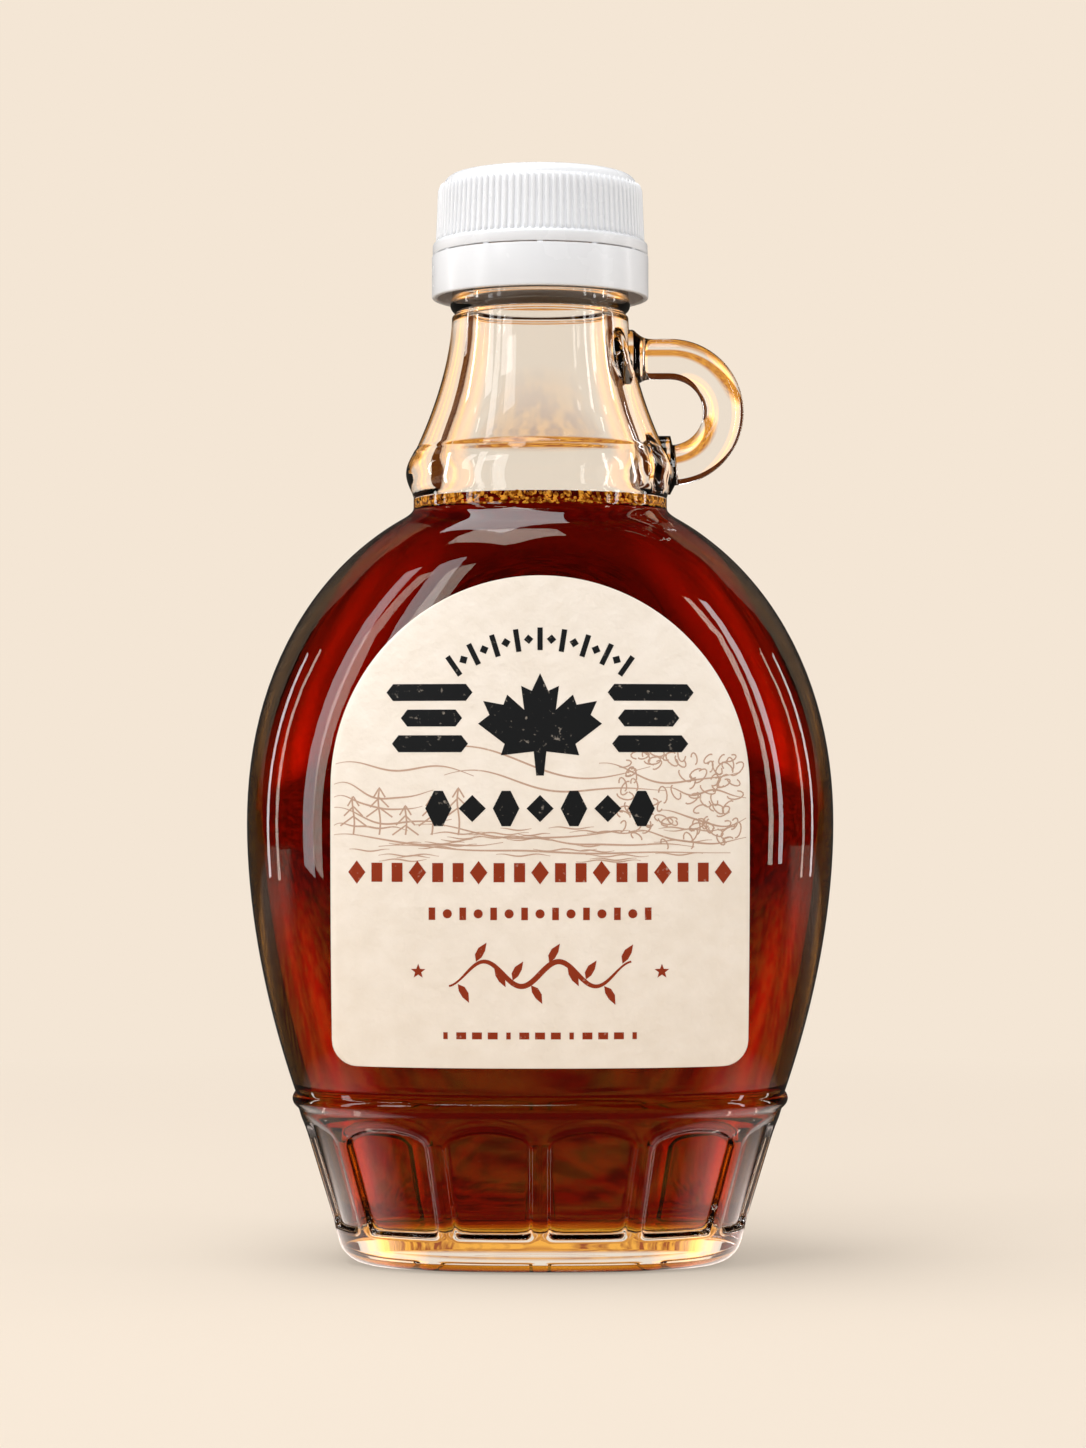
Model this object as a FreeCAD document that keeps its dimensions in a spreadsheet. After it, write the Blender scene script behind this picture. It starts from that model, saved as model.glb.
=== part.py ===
"""Small glass syrup jug: an oval fluted bottle with a finger loop at its neck, filled with maple syrup.

It has a paper label on its front and a ribbed white screw cap over its tamper band.
Frame: origin at the centre of the foot on the table, +Z up, +X towards the finger loop, front towards -Y.
Sizes are millimetres and live in the spreadsheet "Sizes"; every other number follows from them.
"""

import FreeCAD, Part
import math
import os
import re

import Sketcher
from FreeCAD import Placement, Rotation, Vector

# ---------------------------------------------------------------- driving dimensions

SIZES = {
    # oval body, measured over the glass
    "body_width": 83.5,
    "body_depth": 50.2,
    "widest_level": 62.0,
    "waist_width": 69.6,
    "waist_depth": 41.8,
    "belly_power": 1.88,  # taper from the widest level down to the waist
    "dome_power": 2.12,  # dome from the widest level up to its end
    "rounding_power": 4.0,  # how late the oval turns into a circle on the way up
    "squareness": 2.5,  # superellipse power of the oval, 2 being an ellipse
    "wall": 2.8,
    # bead round the waist
    "bead_level": 22.9,
    "bead_height": 2.2,
    "bead_proud": 0.55,
    # fluted base under the bead
    "skirt_width": 68.8,
    "skirt_depth": 41.3,
    "foot_width": 55.4,
    "foot_depth": 33.4,
    "heel_radius": 2.6,
    "floor_thickness": 5.6,
    "floor_corner": 4.0,
    # arched flutes sunk into the base
    "flute_count": 12,
    "flute_rib": 1.9,
    "flute_sunk": 0.75,
    "flute_start": 5.0,
    "flute_top_gap": 1.6,
    "flute_rise": 1.7,
    "flute_corner": 1.1,
    # neck
    "root_level": 107.4,
    "root_radius": 15.5,  # where the dome ends, inside the neck
    "throat_radius": 18.1,
    "throat_fillet": 2.4,
    "collar_rise": 1.4,
    "collar_height": 6.2,
    "collar_radius": 19.2,
    "collar_round": 3.6,
    "flare_radius": 17.6,
    "neck_radius": 12.65,
    "neck_height": 19.2,
    "neck_arc": 44.0,
    "neck_wall": 3.0,
    "groove_depth": 0.4,
    "groove_height": 1.2,
    "rim_radius": 12.85,
    "rim_height": 1.6,
    "finish_radius": 12.6,
    # finger loop
    "loop_rise": 5.8,
    "loop_reach": 18.6,
    "loop_radius": 7.6,
    "loop_thickness": 5.8,
    "loop_fillet": 1.0,
    "loop_bite": 1.4,
    # syrup
    "fill_rise": 1.0,
    # paper label
    "label_width": 57.4,
    "label_bottom_gap": 4.9,
    "label_top_gap": 11.2,
    "label_corner": 3.5,
    "label_paper": 0.16,
    # screw cap and tamper band
    "cap_stand": 9.0,
    "cap_height": 11.7,
    "cap_thickness": 1.5,
    "cap_clearance": 0.3,
    "cap_wall": 1.4,
    "cap_edge": 1.5,
    "cap_foot_height": 1.9,
    "cap_foot_slope": 0.7,
    "rib_count": 92,
    "rib_radius": 0.36,
    "rib_top_gap": 1.7,
    "band_height": 6.0,
    "band_clearance": 1.8,
    "band_wall": 0.85,
    "band_gap": 0.22,
    "bridge_count": 12,
    "bridge_width": 0.9,
}

# Places and sizes that follow from the sheet, as expressions in its aliases and in each other.
FOLLOWING = {
    "bead_bottom": "(bead_level - bead_height / 2)",
    "bead_top": "(bead_level + bead_height / 2)",
    "collar_low": "(root_level + collar_rise)",
    "collar_high": "(collar_low + collar_height)",
    "neck_top": "(collar_high + neck_height)",
    "rim_low": "(neck_top + groove_height)",
    "rim_high": "(rim_low + rim_height)",
    "groove_radius": "(neck_radius - groove_depth)",
    "bore_radius": "(neck_radius - neck_wall)",
    "cap_level": "(neck_top + cap_stand)",
    "cap_top": "(cap_level + cap_height)",
    "lip_level": "(cap_top - cap_thickness)",
    "cap_inside": "(finish_radius + cap_clearance)",
    "cap_outside": "(cap_inside + cap_wall)",
    "band_inside": "(rim_radius + band_clearance)",
    "band_outside": "(band_inside + band_wall)",
    "band_top": "(cap_level - band_gap)",
    "band_bottom": "(band_top - band_height)",
    "loop_level": "(collar_high + loop_rise)",
    "fill_level": "(root_level + fill_rise)",
    "label_bottom": "(bead_top + label_bottom_gap)",
    "label_top": "(root_level - label_top_gap)",
    "flute_top": "(bead_bottom - flute_top_gap)",
}

SECTION_POINTS = 36  # points of one oval, which one closed spline joins
STEPS = 8  # lofted ovals in the lower and in the upper part of the body
CUTTER_REACH = 30.0  # how far a cutting prism runs outside the glass
SPAN_STEPS = 720  # steps in which the length round an oval is added up


# ---------------------------------------------------------------- document helpers


def new_sheet(doc):
    """The spreadsheet that holds every driving dimension under its own alias."""
    sheet = doc.addObject("Spreadsheet::Sheet", "Sizes")
    for row, (alias, size) in enumerate(SIZES.items(), start=1):
        sheet.set("A%d" % row, alias)
        sheet.set("B%d" % row, repr(size))
        sheet.setAlias("B%d" % row, alias)
    doc.recompute()


def sized(text):
    """An expression in alias names, written the way the other objects read the sheet."""
    while any(re.search(r"\b%s\b" % name, text) for name in FOLLOWING):
        for name, meaning in FOLLOWING.items():
            text = re.sub(r"\b%s\b" % name, meaning, text)
    return re.sub(r"\b(%s)\b" % "|".join(SIZES), r"Sizes.\1", text)


def number(doc, text):
    """The present value of an expression in alias names."""
    found = doc.Sizes.evalExpression(sized(text))
    return float(getattr(found, "Value", found))


def bind(thing, prop, text):
    thing.setExpression(prop, sized(text))


def origin_part(body, role):
    """A plane or axis of the body's own origin."""
    return [feature for feature in body.Origin.OriginFeatures if feature.Role == role][0]


def new_sketch(body, name, role, raised=None):
    """A sketch on one of the body's own origin planes, moved along its normal by an expression."""
    sketch = body.newObject("Sketcher::SketchObject", name)
    sketch.AttachmentSupport = [(origin_part(body, role), "")]
    sketch.MapMode = "FlatFace"
    if raised is not None:
        bind(sketch, "AttachmentOffset.Base.z", raised)
    return sketch


def pin_point(sketch, side, end, across, up):
    """Fixes one end of a sketch element at a place given by two expressions."""
    for kind, text in (("DistanceX", across), ("DistanceY", up)):
        place = number(sketch.Document, text)
        rule = sketch.addConstraint(Sketcher.Constraint(kind, -1, 1, side, end, place))
        bind(sketch, "Constraints[%d]" % rule, text)


def add_arc(sketch, start, end, radius_text, turn):
    """A sketch arc from start to end with a bound radius, which turns left when turn is 1."""
    radius = number(sketch.Document, radius_text)
    chord = end - start
    reach = math.sqrt(max(radius**2 - (chord.Length / 2) ** 2, 0.0))
    centre = (start + end) * 0.5 + Vector(-chord.y, chord.x, 0).normalize() * (reach * turn)
    ends = (start, end) if turn > 0 else (end, start)
    angles = [math.atan2(p.y - centre.y, p.x - centre.x) for p in ends]
    if angles[1] < angles[0]:
        angles[1] += 2 * math.pi
    circle = Part.Circle(centre, Vector(0, 0, 1), radius)
    side = sketch.addGeometry(Part.ArcOfCircle(circle, *angles), False)
    rule = sketch.addConstraint(Sketcher.Constraint("Radius", side, radius))
    bind(sketch, "Constraints[%d]" % rule, radius_text)


def draw_outline(sketch, corners, arcs=None, closed=True):
    """An outline through corners, each an (across, up) pair of expressions.

    arcs maps the number of a side to (radius, turn), and makes that side an arc.
    """
    doc = sketch.Document
    arcs = arcs or {}
    spots = [Vector(number(doc, across), number(doc, up), 0) for across, up in corners]
    sides = range(len(corners) if closed else len(corners) - 1)
    forward = [arcs.get(side, ("", 1))[1] > 0 for side in sides]
    for side in sides:
        start, end = spots[side], spots[(side + 1) % len(spots)]
        if side in arcs:
            add_arc(sketch, start, end, *arcs[side])
        else:
            sketch.addGeometry(Part.LineSegment(start, end), False)
    for side in sides:
        pin_point(sketch, side, 1 if forward[side] else 2, *corners[side])
    for side in sides:
        after = (side + 1) % len(corners)
        last = 2 if forward[side] else 1
        if after in sides:
            first = 1 if forward[after] else 2
            sketch.addConstraint(Sketcher.Constraint("Coincident", side, last, after, first))
        else:
            pin_point(sketch, side, last, *corners[after])


def turned_body(doc, name, corners, arcs=None):
    """A PartDesign body turned round the upright axis from one half outline."""
    body = doc.addObject("PartDesign::Body", name)
    sketch = new_sketch(body, name + "_outline", "XZ_Plane")
    draw_outline(sketch, corners, arcs)
    turned = body.newObject("PartDesign::Revolution", name + "_turned")
    turned.Profile = sketch
    turned.ReferenceAxis = (sketch, ["V_Axis"])
    turned.Angle = 360
    body.Tip = turned
    doc.recompute()
    return body


def repeat_round(body, feature, name, count):
    """Repeats a feature round the upright axis and makes the pattern the body's tip."""
    pattern = body.newObject("PartDesign::PolarPattern", name)
    pattern.Originals = [feature]
    pattern.Axis = (origin_part(body, "Z_Axis"), [""])
    pattern.Angle = 360
    bind(pattern, "Occurrences", count)
    body.Tip = pattern
    body.Document.recompute()


def shape_feature(doc, name, shape):
    feature = doc.addObject("Part::Feature", name)
    feature.Shape = shape
    return feature


def joined(doc, kind, name, links):
    """A Part boolean over other objects of the document."""
    made = doc.addObject(kind, name)
    for link, target in links.items():
        setattr(made, link, target)
    doc.recompute()
    return made


# ---------------------------------------------------------------- the oval form


class OvalForm:
    """Half width, half depth and squareness of the oval glass at every level, from the sheet."""

    def __init__(self, doc):
        self.size = lambda text: number(doc, text)
        self.widest = self.size("widest_level")
        self.root = self.size("root_level")
        self.root_radius = self.size("root_radius")
        self.low = self.size("bead_bottom")
        self.high = self.size("bead_top")
        self.belly_power = self.size("belly_power")
        self.dome_power = self.size("dome_power")
        self.rounding_power = self.size("rounding_power")
        self.squareness = self.size("squareness")
        self.proud = self.size("bead_proud")
        ruling = ("body", "waist", "skirt", "foot")
        self.widths = [self.size(part + "_width / 2") for part in ruling]
        self.depths = [self.size(part + "_depth / 2") for part in ruling]

    def bead_bulge(self, level):
        """How far the bead stands out of the waist at a level."""
        if not self.low < level < self.high:
            return 0.0
        return self.proud * math.sin(math.pi * (level - self.low) / (self.high - self.low))

    def half(self, level, ruling):
        """One half size of the oval at a level, out of the four half sizes that rule it."""
        widest, waist, skirt, foot = ruling
        if level >= self.widest:
            power = self.dome_power
            open_share = (1 - (self.root_radius / widest) ** power) ** (1 / power)
            return widest * (1 - (self.climb(level) * open_share) ** power) ** (1 / power)
        if level >= self.high:
            drop = (self.widest - level) / (self.widest - self.high)
            return widest - (widest - waist) * drop**self.belly_power
        if level > self.low:
            share = (level - self.low) / (self.high - self.low)
            return skirt + (waist - skirt) * share + self.bead_bulge(level)
        return foot + (skirt - foot) * level / self.low

    def climb(self, level):
        """How much of the dome lies under a level, from 0 at the widest level to 1 at its end."""
        return max(0.0, (level - self.widest) / (self.root - self.widest))

    def half_sizes(self, level):
        """Half width and half depth at a level: the oval turns round on its way to the neck."""
        across = self.half(level, self.widths)
        if level < self.widest:
            return across, self.half(level, self.depths)
        flatness = self.depths[0] / self.widths[0]
        roundness = self.climb(level) ** self.rounding_power
        return across, across * (flatness + (1 - flatness) * roundness)

    def power(self, level):
        """The squareness at a level, which is 2, a circle's, where the dome ends."""
        share = self.climb(level)
        return self.squareness + (2 - self.squareness) * share * share * (3 - 2 * share)

    def point(self, level, angle, grown=0.0):
        """The point of the oval at a polar angle, with the oval grown all round."""
        across, deep = (half + grown for half in self.half_sizes(level))
        power = self.power(level)
        sum_of_powers = abs(math.cos(angle) / across) ** power
        sum_of_powers += abs(math.sin(angle) / deep) ** power
        reach = sum_of_powers ** (-1 / power)
        return Vector(reach * math.cos(angle), reach * math.sin(angle), level)

    def section(self, level, grown=0.0, lifted=0.0):
        """The oval at a level as one closed spline, grown all round and moved upwards."""
        turns = [2 * math.pi * k / SECTION_POINTS for k in range(SECTION_POINTS)]
        points = [self.point(level, turn, grown) + Vector(0, 0, lifted) for turn in turns]
        curve = Part.BSplineCurve()
        curve.interpolate(Points=points, PeriodicFlag=True)
        return Part.Wire([curve.toShape()])

    def lean(self, level):
        """How far the dome's outward normal points up at a level, as an angle."""
        step = 0.05
        near = min(level, self.root - step)
        fall = self.half(near, self.widths) - self.half(near + step, self.widths)
        return math.atan2(fall, step)

    def dome_levels(self):
        """Levels that crowd towards the neck root, where the form turns fastest."""
        shares = [math.sin(math.pi / 2 * k / STEPS) for k in range(STEPS + 1)]
        return [self.widest + (self.root - self.widest) * share for share in shares]

    def belly_levels(self, low):
        return [low + (self.widest - low) * k / STEPS for k in range(STEPS)]

    def belly(self, grown=0.0):
        """The form over the bead as one solid."""
        levels = self.belly_levels(self.high) + self.dome_levels()
        return Part.makeLoft([self.section(level, grown) for level in levels], True, False)

    def skirt(self, grown=0.0):
        """The tapered base from its heel to the bead as one solid."""
        heel = self.size("heel_radius")
        rounds = [math.pi / 2 * k / 4 for k in range(5)]
        wires = []
        for turn in rounds:
            level = heel * (1 - math.cos(turn))
            wires.append(self.section(level, grown - heel * (1 - math.sin(turn))))
        bottom = Part.makeLoft(wires, True, False)
        cone = Part.makeLoft([wires[-1], self.section(self.low, grown)], True, True)
        return bottom.fuse(cone)

    def bead(self):
        levels = [self.low + (self.high - self.low) * k / 6 for k in range(7)]
        return Part.makeLoft([self.section(level) for level in levels], True, False)

    def outside(self):
        return self.skirt().fuse([self.bead(), self.belly()])

    def inside(self):
        """The room for the syrup, from the glass floor up to the dome's end, a wall inside it."""
        wall, floor = self.size("wall"), self.size("floor_thickness")
        corner = self.size("floor_corner")
        wires = []
        for turn in [math.pi / 2 * k / 4 for k in range(4)]:
            level = floor + corner * (1 - math.cos(turn))
            wires.append(self.section(level, -wall - corner * (1 - math.sin(turn))))
        for level in self.belly_levels(floor + corner):
            wires.append(self.section(level, -wall - self.bead_bulge(level)))
        for level in self.dome_levels():
            lean = self.lean(level)
            wires.append(self.section(level, -wall * math.cos(lean), -wall * math.sin(lean)))
        return Part.makeLoft(wires, True, False)

    def walk(self, level):
        """The oval at a level as steps, each with the share of the way round at which it lies."""
        turns = [2 * math.pi * k / SPAN_STEPS for k in range(SPAN_STEPS + 1)]
        points = [self.point(level, turn) for turn in turns]
        run = [0.0]
        for before, after in zip(points, points[1:]):
            run.append(run[-1] + (after - before).Length)
        return run[-1], list(zip(run, points))

    def place_at(self, level, share, shift=0.0):
        """The point at a share of the way round a level, moved along the oval by shift."""
        length, steps = self.walk(level)
        goal = (share * length + shift) % length
        return min(steps, key=lambda step: abs(step[0] - goal))[1]


# ---------------------------------------------------------------- glass


def neck_body(doc):
    """The round neck over its collar, up to the lip under the cap, still without its bore."""
    corners = [
        ("0", "root_level - 2 * wall"),
        ("throat_radius", "root_level - 2 * wall"),
        ("throat_radius", "collar_low"),
        ("collar_radius - 0.1", "collar_low + 1.4"),
        ("flare_radius", "collar_high"),
        ("neck_radius", "neck_top"),
        ("groove_radius", "neck_top + groove_height / 2"),
        ("rim_radius", "rim_low"),
        ("rim_radius", "rim_high"),
        ("finish_radius", "rim_high"),
        ("finish_radius", "lip_level"),
        ("0", "lip_level"),
    ]
    arcs = {2: ("collar_round", 1), 3: ("collar_height", 1), 4: ("neck_arc", -1)}
    return turned_body(doc, "neck", corners, arcs)


def bore_body(doc):
    """The room inside the neck, a wall thinner all round, from the body's room to above the lip."""
    corners = [
        ("0", "root_level - 3 * wall"),
        ("throat_radius - neck_wall", "root_level - 3 * wall"),
        ("throat_radius - neck_wall", "collar_low + collar_height / 2"),
        ("flare_radius - neck_wall", "collar_high"),
        ("bore_radius", "neck_top"),
        ("bore_radius", "lip_level + 1"),
        ("0", "lip_level + 1"),
    ]
    return turned_body(doc, "bore", corners, {3: ("neck_arc", -1)})


def loop_body(doc):
    """The finger loop: a round glass rod that leaves the neck, turns over and ends in the collar."""
    body = doc.addObject("PartDesign::Body", "finger_loop")
    route = new_sketch(body, "loop_route", "XZ_Plane")
    high, low = "loop_level + loop_radius", "loop_level - loop_radius"
    start, stop = "neck_radius - loop_bite / 2", "collar_radius - 1.6 * loop_bite"
    corners = [
        (stop, low),
        ("loop_reach", low),
        ("loop_reach + loop_radius", "loop_level"),
        ("loop_reach", high),
        (start, high),
    ]
    quarter = ("loop_radius", 1)
    draw_outline(route, corners, {1: quarter, 2: quarter}, closed=False)
    rod = new_sketch(body, "loop_rod", "YZ_Plane", stop)
    circle = Part.Circle(Vector(0, number(doc, low), 0), Vector(0, 0, 1), 1.0)
    rod.addGeometry(circle, False)
    pin_point(rod, 0, 3, "0", low)
    rule = rod.addConstraint(Sketcher.Constraint("Radius", 0, number(doc, "loop_thickness / 2")))
    bind(rod, "Constraints[%d]" % rule, "loop_thickness / 2")
    pipe = body.newObject("PartDesign::AdditivePipe", "loop_pipe")
    pipe.Profile = rod
    pipe.Spine = route
    body.Tip = pipe
    doc.recompute()
    return body


def flute_outline(doc, form, share):
    """The outline of one arched flute, flat in front of the base, and the way it faces."""
    low, high = number(doc, "flute_start"), number(doc, "flute_top")
    shoulder = high - number(doc, "flute_rise")
    rib, corner = number(doc, "flute_rib"), number(doc, "flute_corner")
    half_pitch = 0.5 / number(doc, "flute_count")
    sides = {}
    for level in (low, shoulder):
        sides[level] = [
            form.place_at(level, share - half_pitch, rib / 2),
            form.place_at(level, share + half_pitch, -rib / 2),
        ]
    chord = sides[shoulder][1] - sides[shoulder][0]
    along = Vector(chord.x, chord.y, 0).normalize()
    facing = Vector(along.y, -along.x, 0)
    middle = form.place_at(shoulder, share)

    def flat(point, up):
        """The point dropped into the upright plane through the flute's middle."""
        reach = (point - middle).dot(along)
        return Vector(middle.x, middle.y, 0) + along * reach + Vector(0, 0, up)

    foot_left, foot_right = (flat(point, low) for point in sides[low])
    top_left, top_right = (flat(point, shoulder) for point in sides[shoulder])
    crown = flat(middle, high)
    lines = [
        Part.makeLine(top_left, foot_left),
        Part.makeLine(foot_left, foot_right),
        Part.makeLine(foot_right, top_right),
        Part.Arc(top_right, crown, top_left).toShape(),
    ]
    face = Part.Face(Part.Wire(lines))
    prism = face.extrude(facing * CUTTER_REACH)
    prism.translate(facing * (-CUTTER_REACH / 2))
    uprights = [edge for edge in prism.Edges if abs(edge.Length - CUTTER_REACH) < 1e-6]
    return prism.makeFillet(corner, uprights)


def flute_cutters(doc, form):
    """Every flute's cutter: an arched prism that stops at a depth inside the base."""
    count = int(number(doc, "flute_count"))
    core = form.skirt(-number(doc, "flute_sunk"))
    prisms = [flute_outline(doc, form, (k + 0.5) / count) for k in range(count)]
    return Part.makeCompound([prism.cut(core) for prism in prisms])


def edges_where(shape, holds):
    """Numbers of the edges whose every sampled point passes a test."""
    found = []
    for index, edge in enumerate(shape.Edges, start=1):
        if all(holds(point) for point in edge.discretize(6)):
            found.append(index)
    return found


def rounded_glass(doc, solid):
    """The solid glass with soft corners where the dome and the loop's upper leg meet the neck."""
    throat, root = number(doc, "throat_radius"), number(doc, "root_level")
    rod, leg = number(doc, "loop_thickness / 2"), number(doc, "loop_level + loop_radius")
    reach = number(doc, "loop_reach")
    close = 0.01  # how near a point lies to the surface that it counts as on

    def round_throat(point):
        on_throat = abs(math.hypot(point.x, point.y) - throat) < close
        return on_throat and root - 1.9 * number(doc, "wall") < point.z < root

    def round_leg(point):
        on_rod = abs(math.hypot(point.y, point.z - leg) - rod) < close
        return on_rod and point.x < reach - close

    softened = doc.addObject("Part::Fillet", "softened_glass")
    softened.Base = solid
    throat_size, leg_size = number(doc, "throat_fillet"), number(doc, "loop_fillet")
    edges = [(index, throat_size, throat_size) for index in edges_where(solid.Shape, round_throat)]
    straight = [
        index
        for index in edges_where(solid.Shape, round_leg)
        if not isinstance(solid.Shape.Edges[index - 1].Curve, Part.Line)
    ]
    edges += [(index, leg_size, leg_size) for index in straight]
    softened.Edges = edges
    doc.recompute()
    return softened


def build_glass(doc, form):
    """The whole glass piece: body, neck and loop, hollowed out and fluted, with the room in it."""
    oval = shape_feature(doc, "oval_body", form.outside())
    pieces = [oval, neck_body(doc), loop_body(doc)]
    solid = joined(doc, "Part::MultiFuse", "solid_glass", {"Shapes": pieces})
    softened = rounded_glass(doc, solid)
    rooms = [shape_feature(doc, "body_room", form.inside()), bore_body(doc)]
    room = joined(doc, "Part::MultiFuse", "jug_room", {"Shapes": rooms})
    flutes = shape_feature(doc, "flutes", flute_cutters(doc, form))
    fluted = joined(doc, "Part::Cut", "fluted_glass", {"Base": softened, "Tool": flutes})
    glass = joined(doc, "Part::Cut", "glass_jug", {"Base": fluted, "Tool": room})
    return glass, room


# ---------------------------------------------------------------- syrup and label


def level_block(doc, name, level):
    """A block from under the jug up to a level, wide enough for the whole jug."""
    block = doc.addObject("Part::Box", name)
    bind(block, "Length", "2 * body_width")
    bind(block, "Width", "2 * body_width")
    bind(block, "Height", level)
    place = Placement(Vector(-1, -1, 0) * number(doc, "body_width"), Rotation())
    block.Placement = place
    return block


def build_syrup(doc, room):
    """The syrup: all of the room in the glass up to the fill level in the throat."""
    block = level_block(doc, "filled_part", "fill_level")
    return joined(doc, "Part::MultiCommon", "syrup", {"Shapes": [room, block]})


def label_prism(doc):
    """The label's outline, arched at the top, pushed from in front of the jug to its middle."""
    body = doc.addObject("PartDesign::Body", "label_cutter")
    sketch = new_sketch(body, "label_outline", "XZ_Plane")
    half = "label_width / 2"
    corner = "label_corner"
    corners = [
        ("0 - %s + %s" % (half, corner), "label_bottom"),
        ("%s - %s" % (half, corner), "label_bottom"),
        (half, "label_bottom + %s" % corner),
        (half, "label_top - %s" % half),
        ("0", "label_top"),
        ("0 - %s" % half, "label_top - %s" % half),
        ("0 - %s" % half, "label_bottom + %s" % corner),
    ]
    arcs = {1: (corner, 1), 3: (half, 1), 4: (half, 1), 6: (corner, 1)}
    draw_outline(sketch, corners, arcs)
    pad = body.newObject("PartDesign::Pad", "label_pad")
    pad.Profile = sketch
    bind(pad, "Length", "body_depth")
    body.Tip = pad
    doc.recompute()
    return body


def build_label(doc, form):
    """A paper label as thick as its paper, which lies on the front of the glass."""
    sheet = form.belly(number(doc, "label_paper"))
    wrap = shape_feature(doc, "label_wrap", sheet.cut(form.belly()))
    return joined(doc, "Part::MultiCommon", "label", {"Shapes": [wrap, label_prism(doc)]})


# ---------------------------------------------------------------- cap and tamper band


def build_cap(doc):
    """The screw cap: a flat top with a round edge, an upright wall with fine ribs and a flared foot."""
    foot = "cap_level + cap_foot_height"
    corners = [
        ("0", "cap_top"),
        ("cap_outside - cap_edge", "cap_top"),
        ("cap_outside", "cap_top - cap_edge"),
        ("cap_outside", foot),
        ("band_outside - 0.1", "cap_level + 0.4 * cap_foot_slope"),
        ("band_outside - 0.1", "cap_level"),
        ("cap_inside", "cap_level"),
        ("cap_inside", "lip_level"),
        ("0", "lip_level"),
    ]
    body = turned_body(doc, "cap", corners, {1: ("cap_edge", -1)})
    sketch = new_sketch(body, "rib_outline", "XY_Plane", "cap_level + cap_foot_height - 0.3")
    circle = Part.Circle(Vector(number(doc, "cap_outside"), 0, 0), Vector(0, 0, 1), 1.0)
    sketch.addGeometry(circle, False)
    pin_point(sketch, 0, 3, "cap_outside", "0")
    rule = sketch.addConstraint(Sketcher.Constraint("Radius", 0, number(doc, "rib_radius")))
    bind(sketch, "Constraints[%d]" % rule, "rib_radius")
    rib = body.newObject("PartDesign::Pad", "rib")
    rib.Profile = sketch
    bind(rib, "Length", "cap_height - cap_foot_height - rib_top_gap + 0.3")
    repeat_round(body, rib, "ribs", "rib_count")
    return body


def build_band(doc):
    """The tamper band under the cap, with the thin bridges that still tie it to the cap's foot."""
    corners = [
        ("band_inside", "band_bottom"),
        ("band_outside", "band_bottom"),
        ("band_outside", "band_top"),
        ("band_inside", "band_top"),
    ]
    body = turned_body(doc, "tamper_band", corners)
    sketch = new_sketch(body, "bridge_outline", "XY_Plane", "band_top")
    half = "bridge_width / 2"
    bridge = [
        ("band_inside + 0.1", "0 - " + half),
        ("band_outside - 0.15", "0 - " + half),
        ("band_outside - 0.15", half),
        ("band_inside + 0.1", half),
    ]
    draw_outline(sketch, bridge)
    pad = body.newObject("PartDesign::Pad", "bridge")
    pad.Profile = sketch
    bind(pad, "Length", "band_gap")
    repeat_round(body, pad, "bridges", "bridge_count")
    return body


# ---------------------------------------------------------------- building and writing


def faults(doc, pieces):
    """Objects that failed to build, and pieces without a sound solid."""
    failed = [thing.Name for thing in doc.Objects if {"Invalid", "Error"} & set(thing.State)]
    for name, piece in pieces.items():
        shape = piece.Shape
        if shape.isNull() or not shape.isValid() or len(shape.Solids) != 1:
            failed.append(name + " shape")
    return failed


def build():
    doc = FreeCAD.newDocument("SyrupJug")
    new_sheet(doc)
    form = OvalForm(doc)
    glass, room = build_glass(doc, form)
    pieces = {
        "glass_jug": glass,
        "syrup": build_syrup(doc, room),
        "label": build_label(doc, form),
        "cap": build_cap(doc),
        "tamper_band": build_band(doc),
    }
    doc.recompute()
    for name, piece in pieces.items():
        piece.Label = name
    failed = faults(doc, pieces)
    if failed:
        raise RuntimeError("not built: " + ", ".join(failed))
    os.makedirs("parts", exist_ok=True)
    for name, piece in pieces.items():
        shape = piece.Shape
        box = shape.BoundBox
        shape.Solids[0].exportStep("parts/%s.step" % name)
        size = (name, shape.Volume, box.XLength, box.YLength, box.ZLength)
        print("%-12s %9.1f mm3  %6.2f x %6.2f x %6.2f" % size)


build()
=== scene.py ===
"""A small oval glass syrup jug, filled and closed: glass, syrup, label, cap and tamper band."""
import math

import bmesh
import bpy
import numpy as np
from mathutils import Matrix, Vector


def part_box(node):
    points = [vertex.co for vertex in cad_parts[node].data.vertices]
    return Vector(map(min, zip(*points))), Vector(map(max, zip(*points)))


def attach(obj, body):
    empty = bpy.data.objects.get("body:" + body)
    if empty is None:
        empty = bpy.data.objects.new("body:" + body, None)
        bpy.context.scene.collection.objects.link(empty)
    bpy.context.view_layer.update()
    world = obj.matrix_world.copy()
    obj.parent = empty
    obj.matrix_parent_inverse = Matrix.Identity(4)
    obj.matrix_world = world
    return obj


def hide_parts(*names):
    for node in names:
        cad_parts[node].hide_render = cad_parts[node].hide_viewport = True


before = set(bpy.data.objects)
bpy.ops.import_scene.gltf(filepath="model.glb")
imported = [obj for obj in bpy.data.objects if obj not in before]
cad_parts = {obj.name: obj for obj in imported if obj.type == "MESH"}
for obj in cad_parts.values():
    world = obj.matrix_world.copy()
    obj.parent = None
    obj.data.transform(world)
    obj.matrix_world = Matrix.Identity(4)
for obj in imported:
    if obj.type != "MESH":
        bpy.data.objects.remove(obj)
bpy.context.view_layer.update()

MM = 0.001
TAU = 2 * math.pi

# -------------------- sizes taken from the frame

glass_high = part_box("glass_jug")[1]
syrup_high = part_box("syrup")[1]
label_low, label_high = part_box("label")
cap_low, cap_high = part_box("cap")
band_low, band_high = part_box("tamper_band")

# -------------------- sizes of the glass, in millimetres

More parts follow.
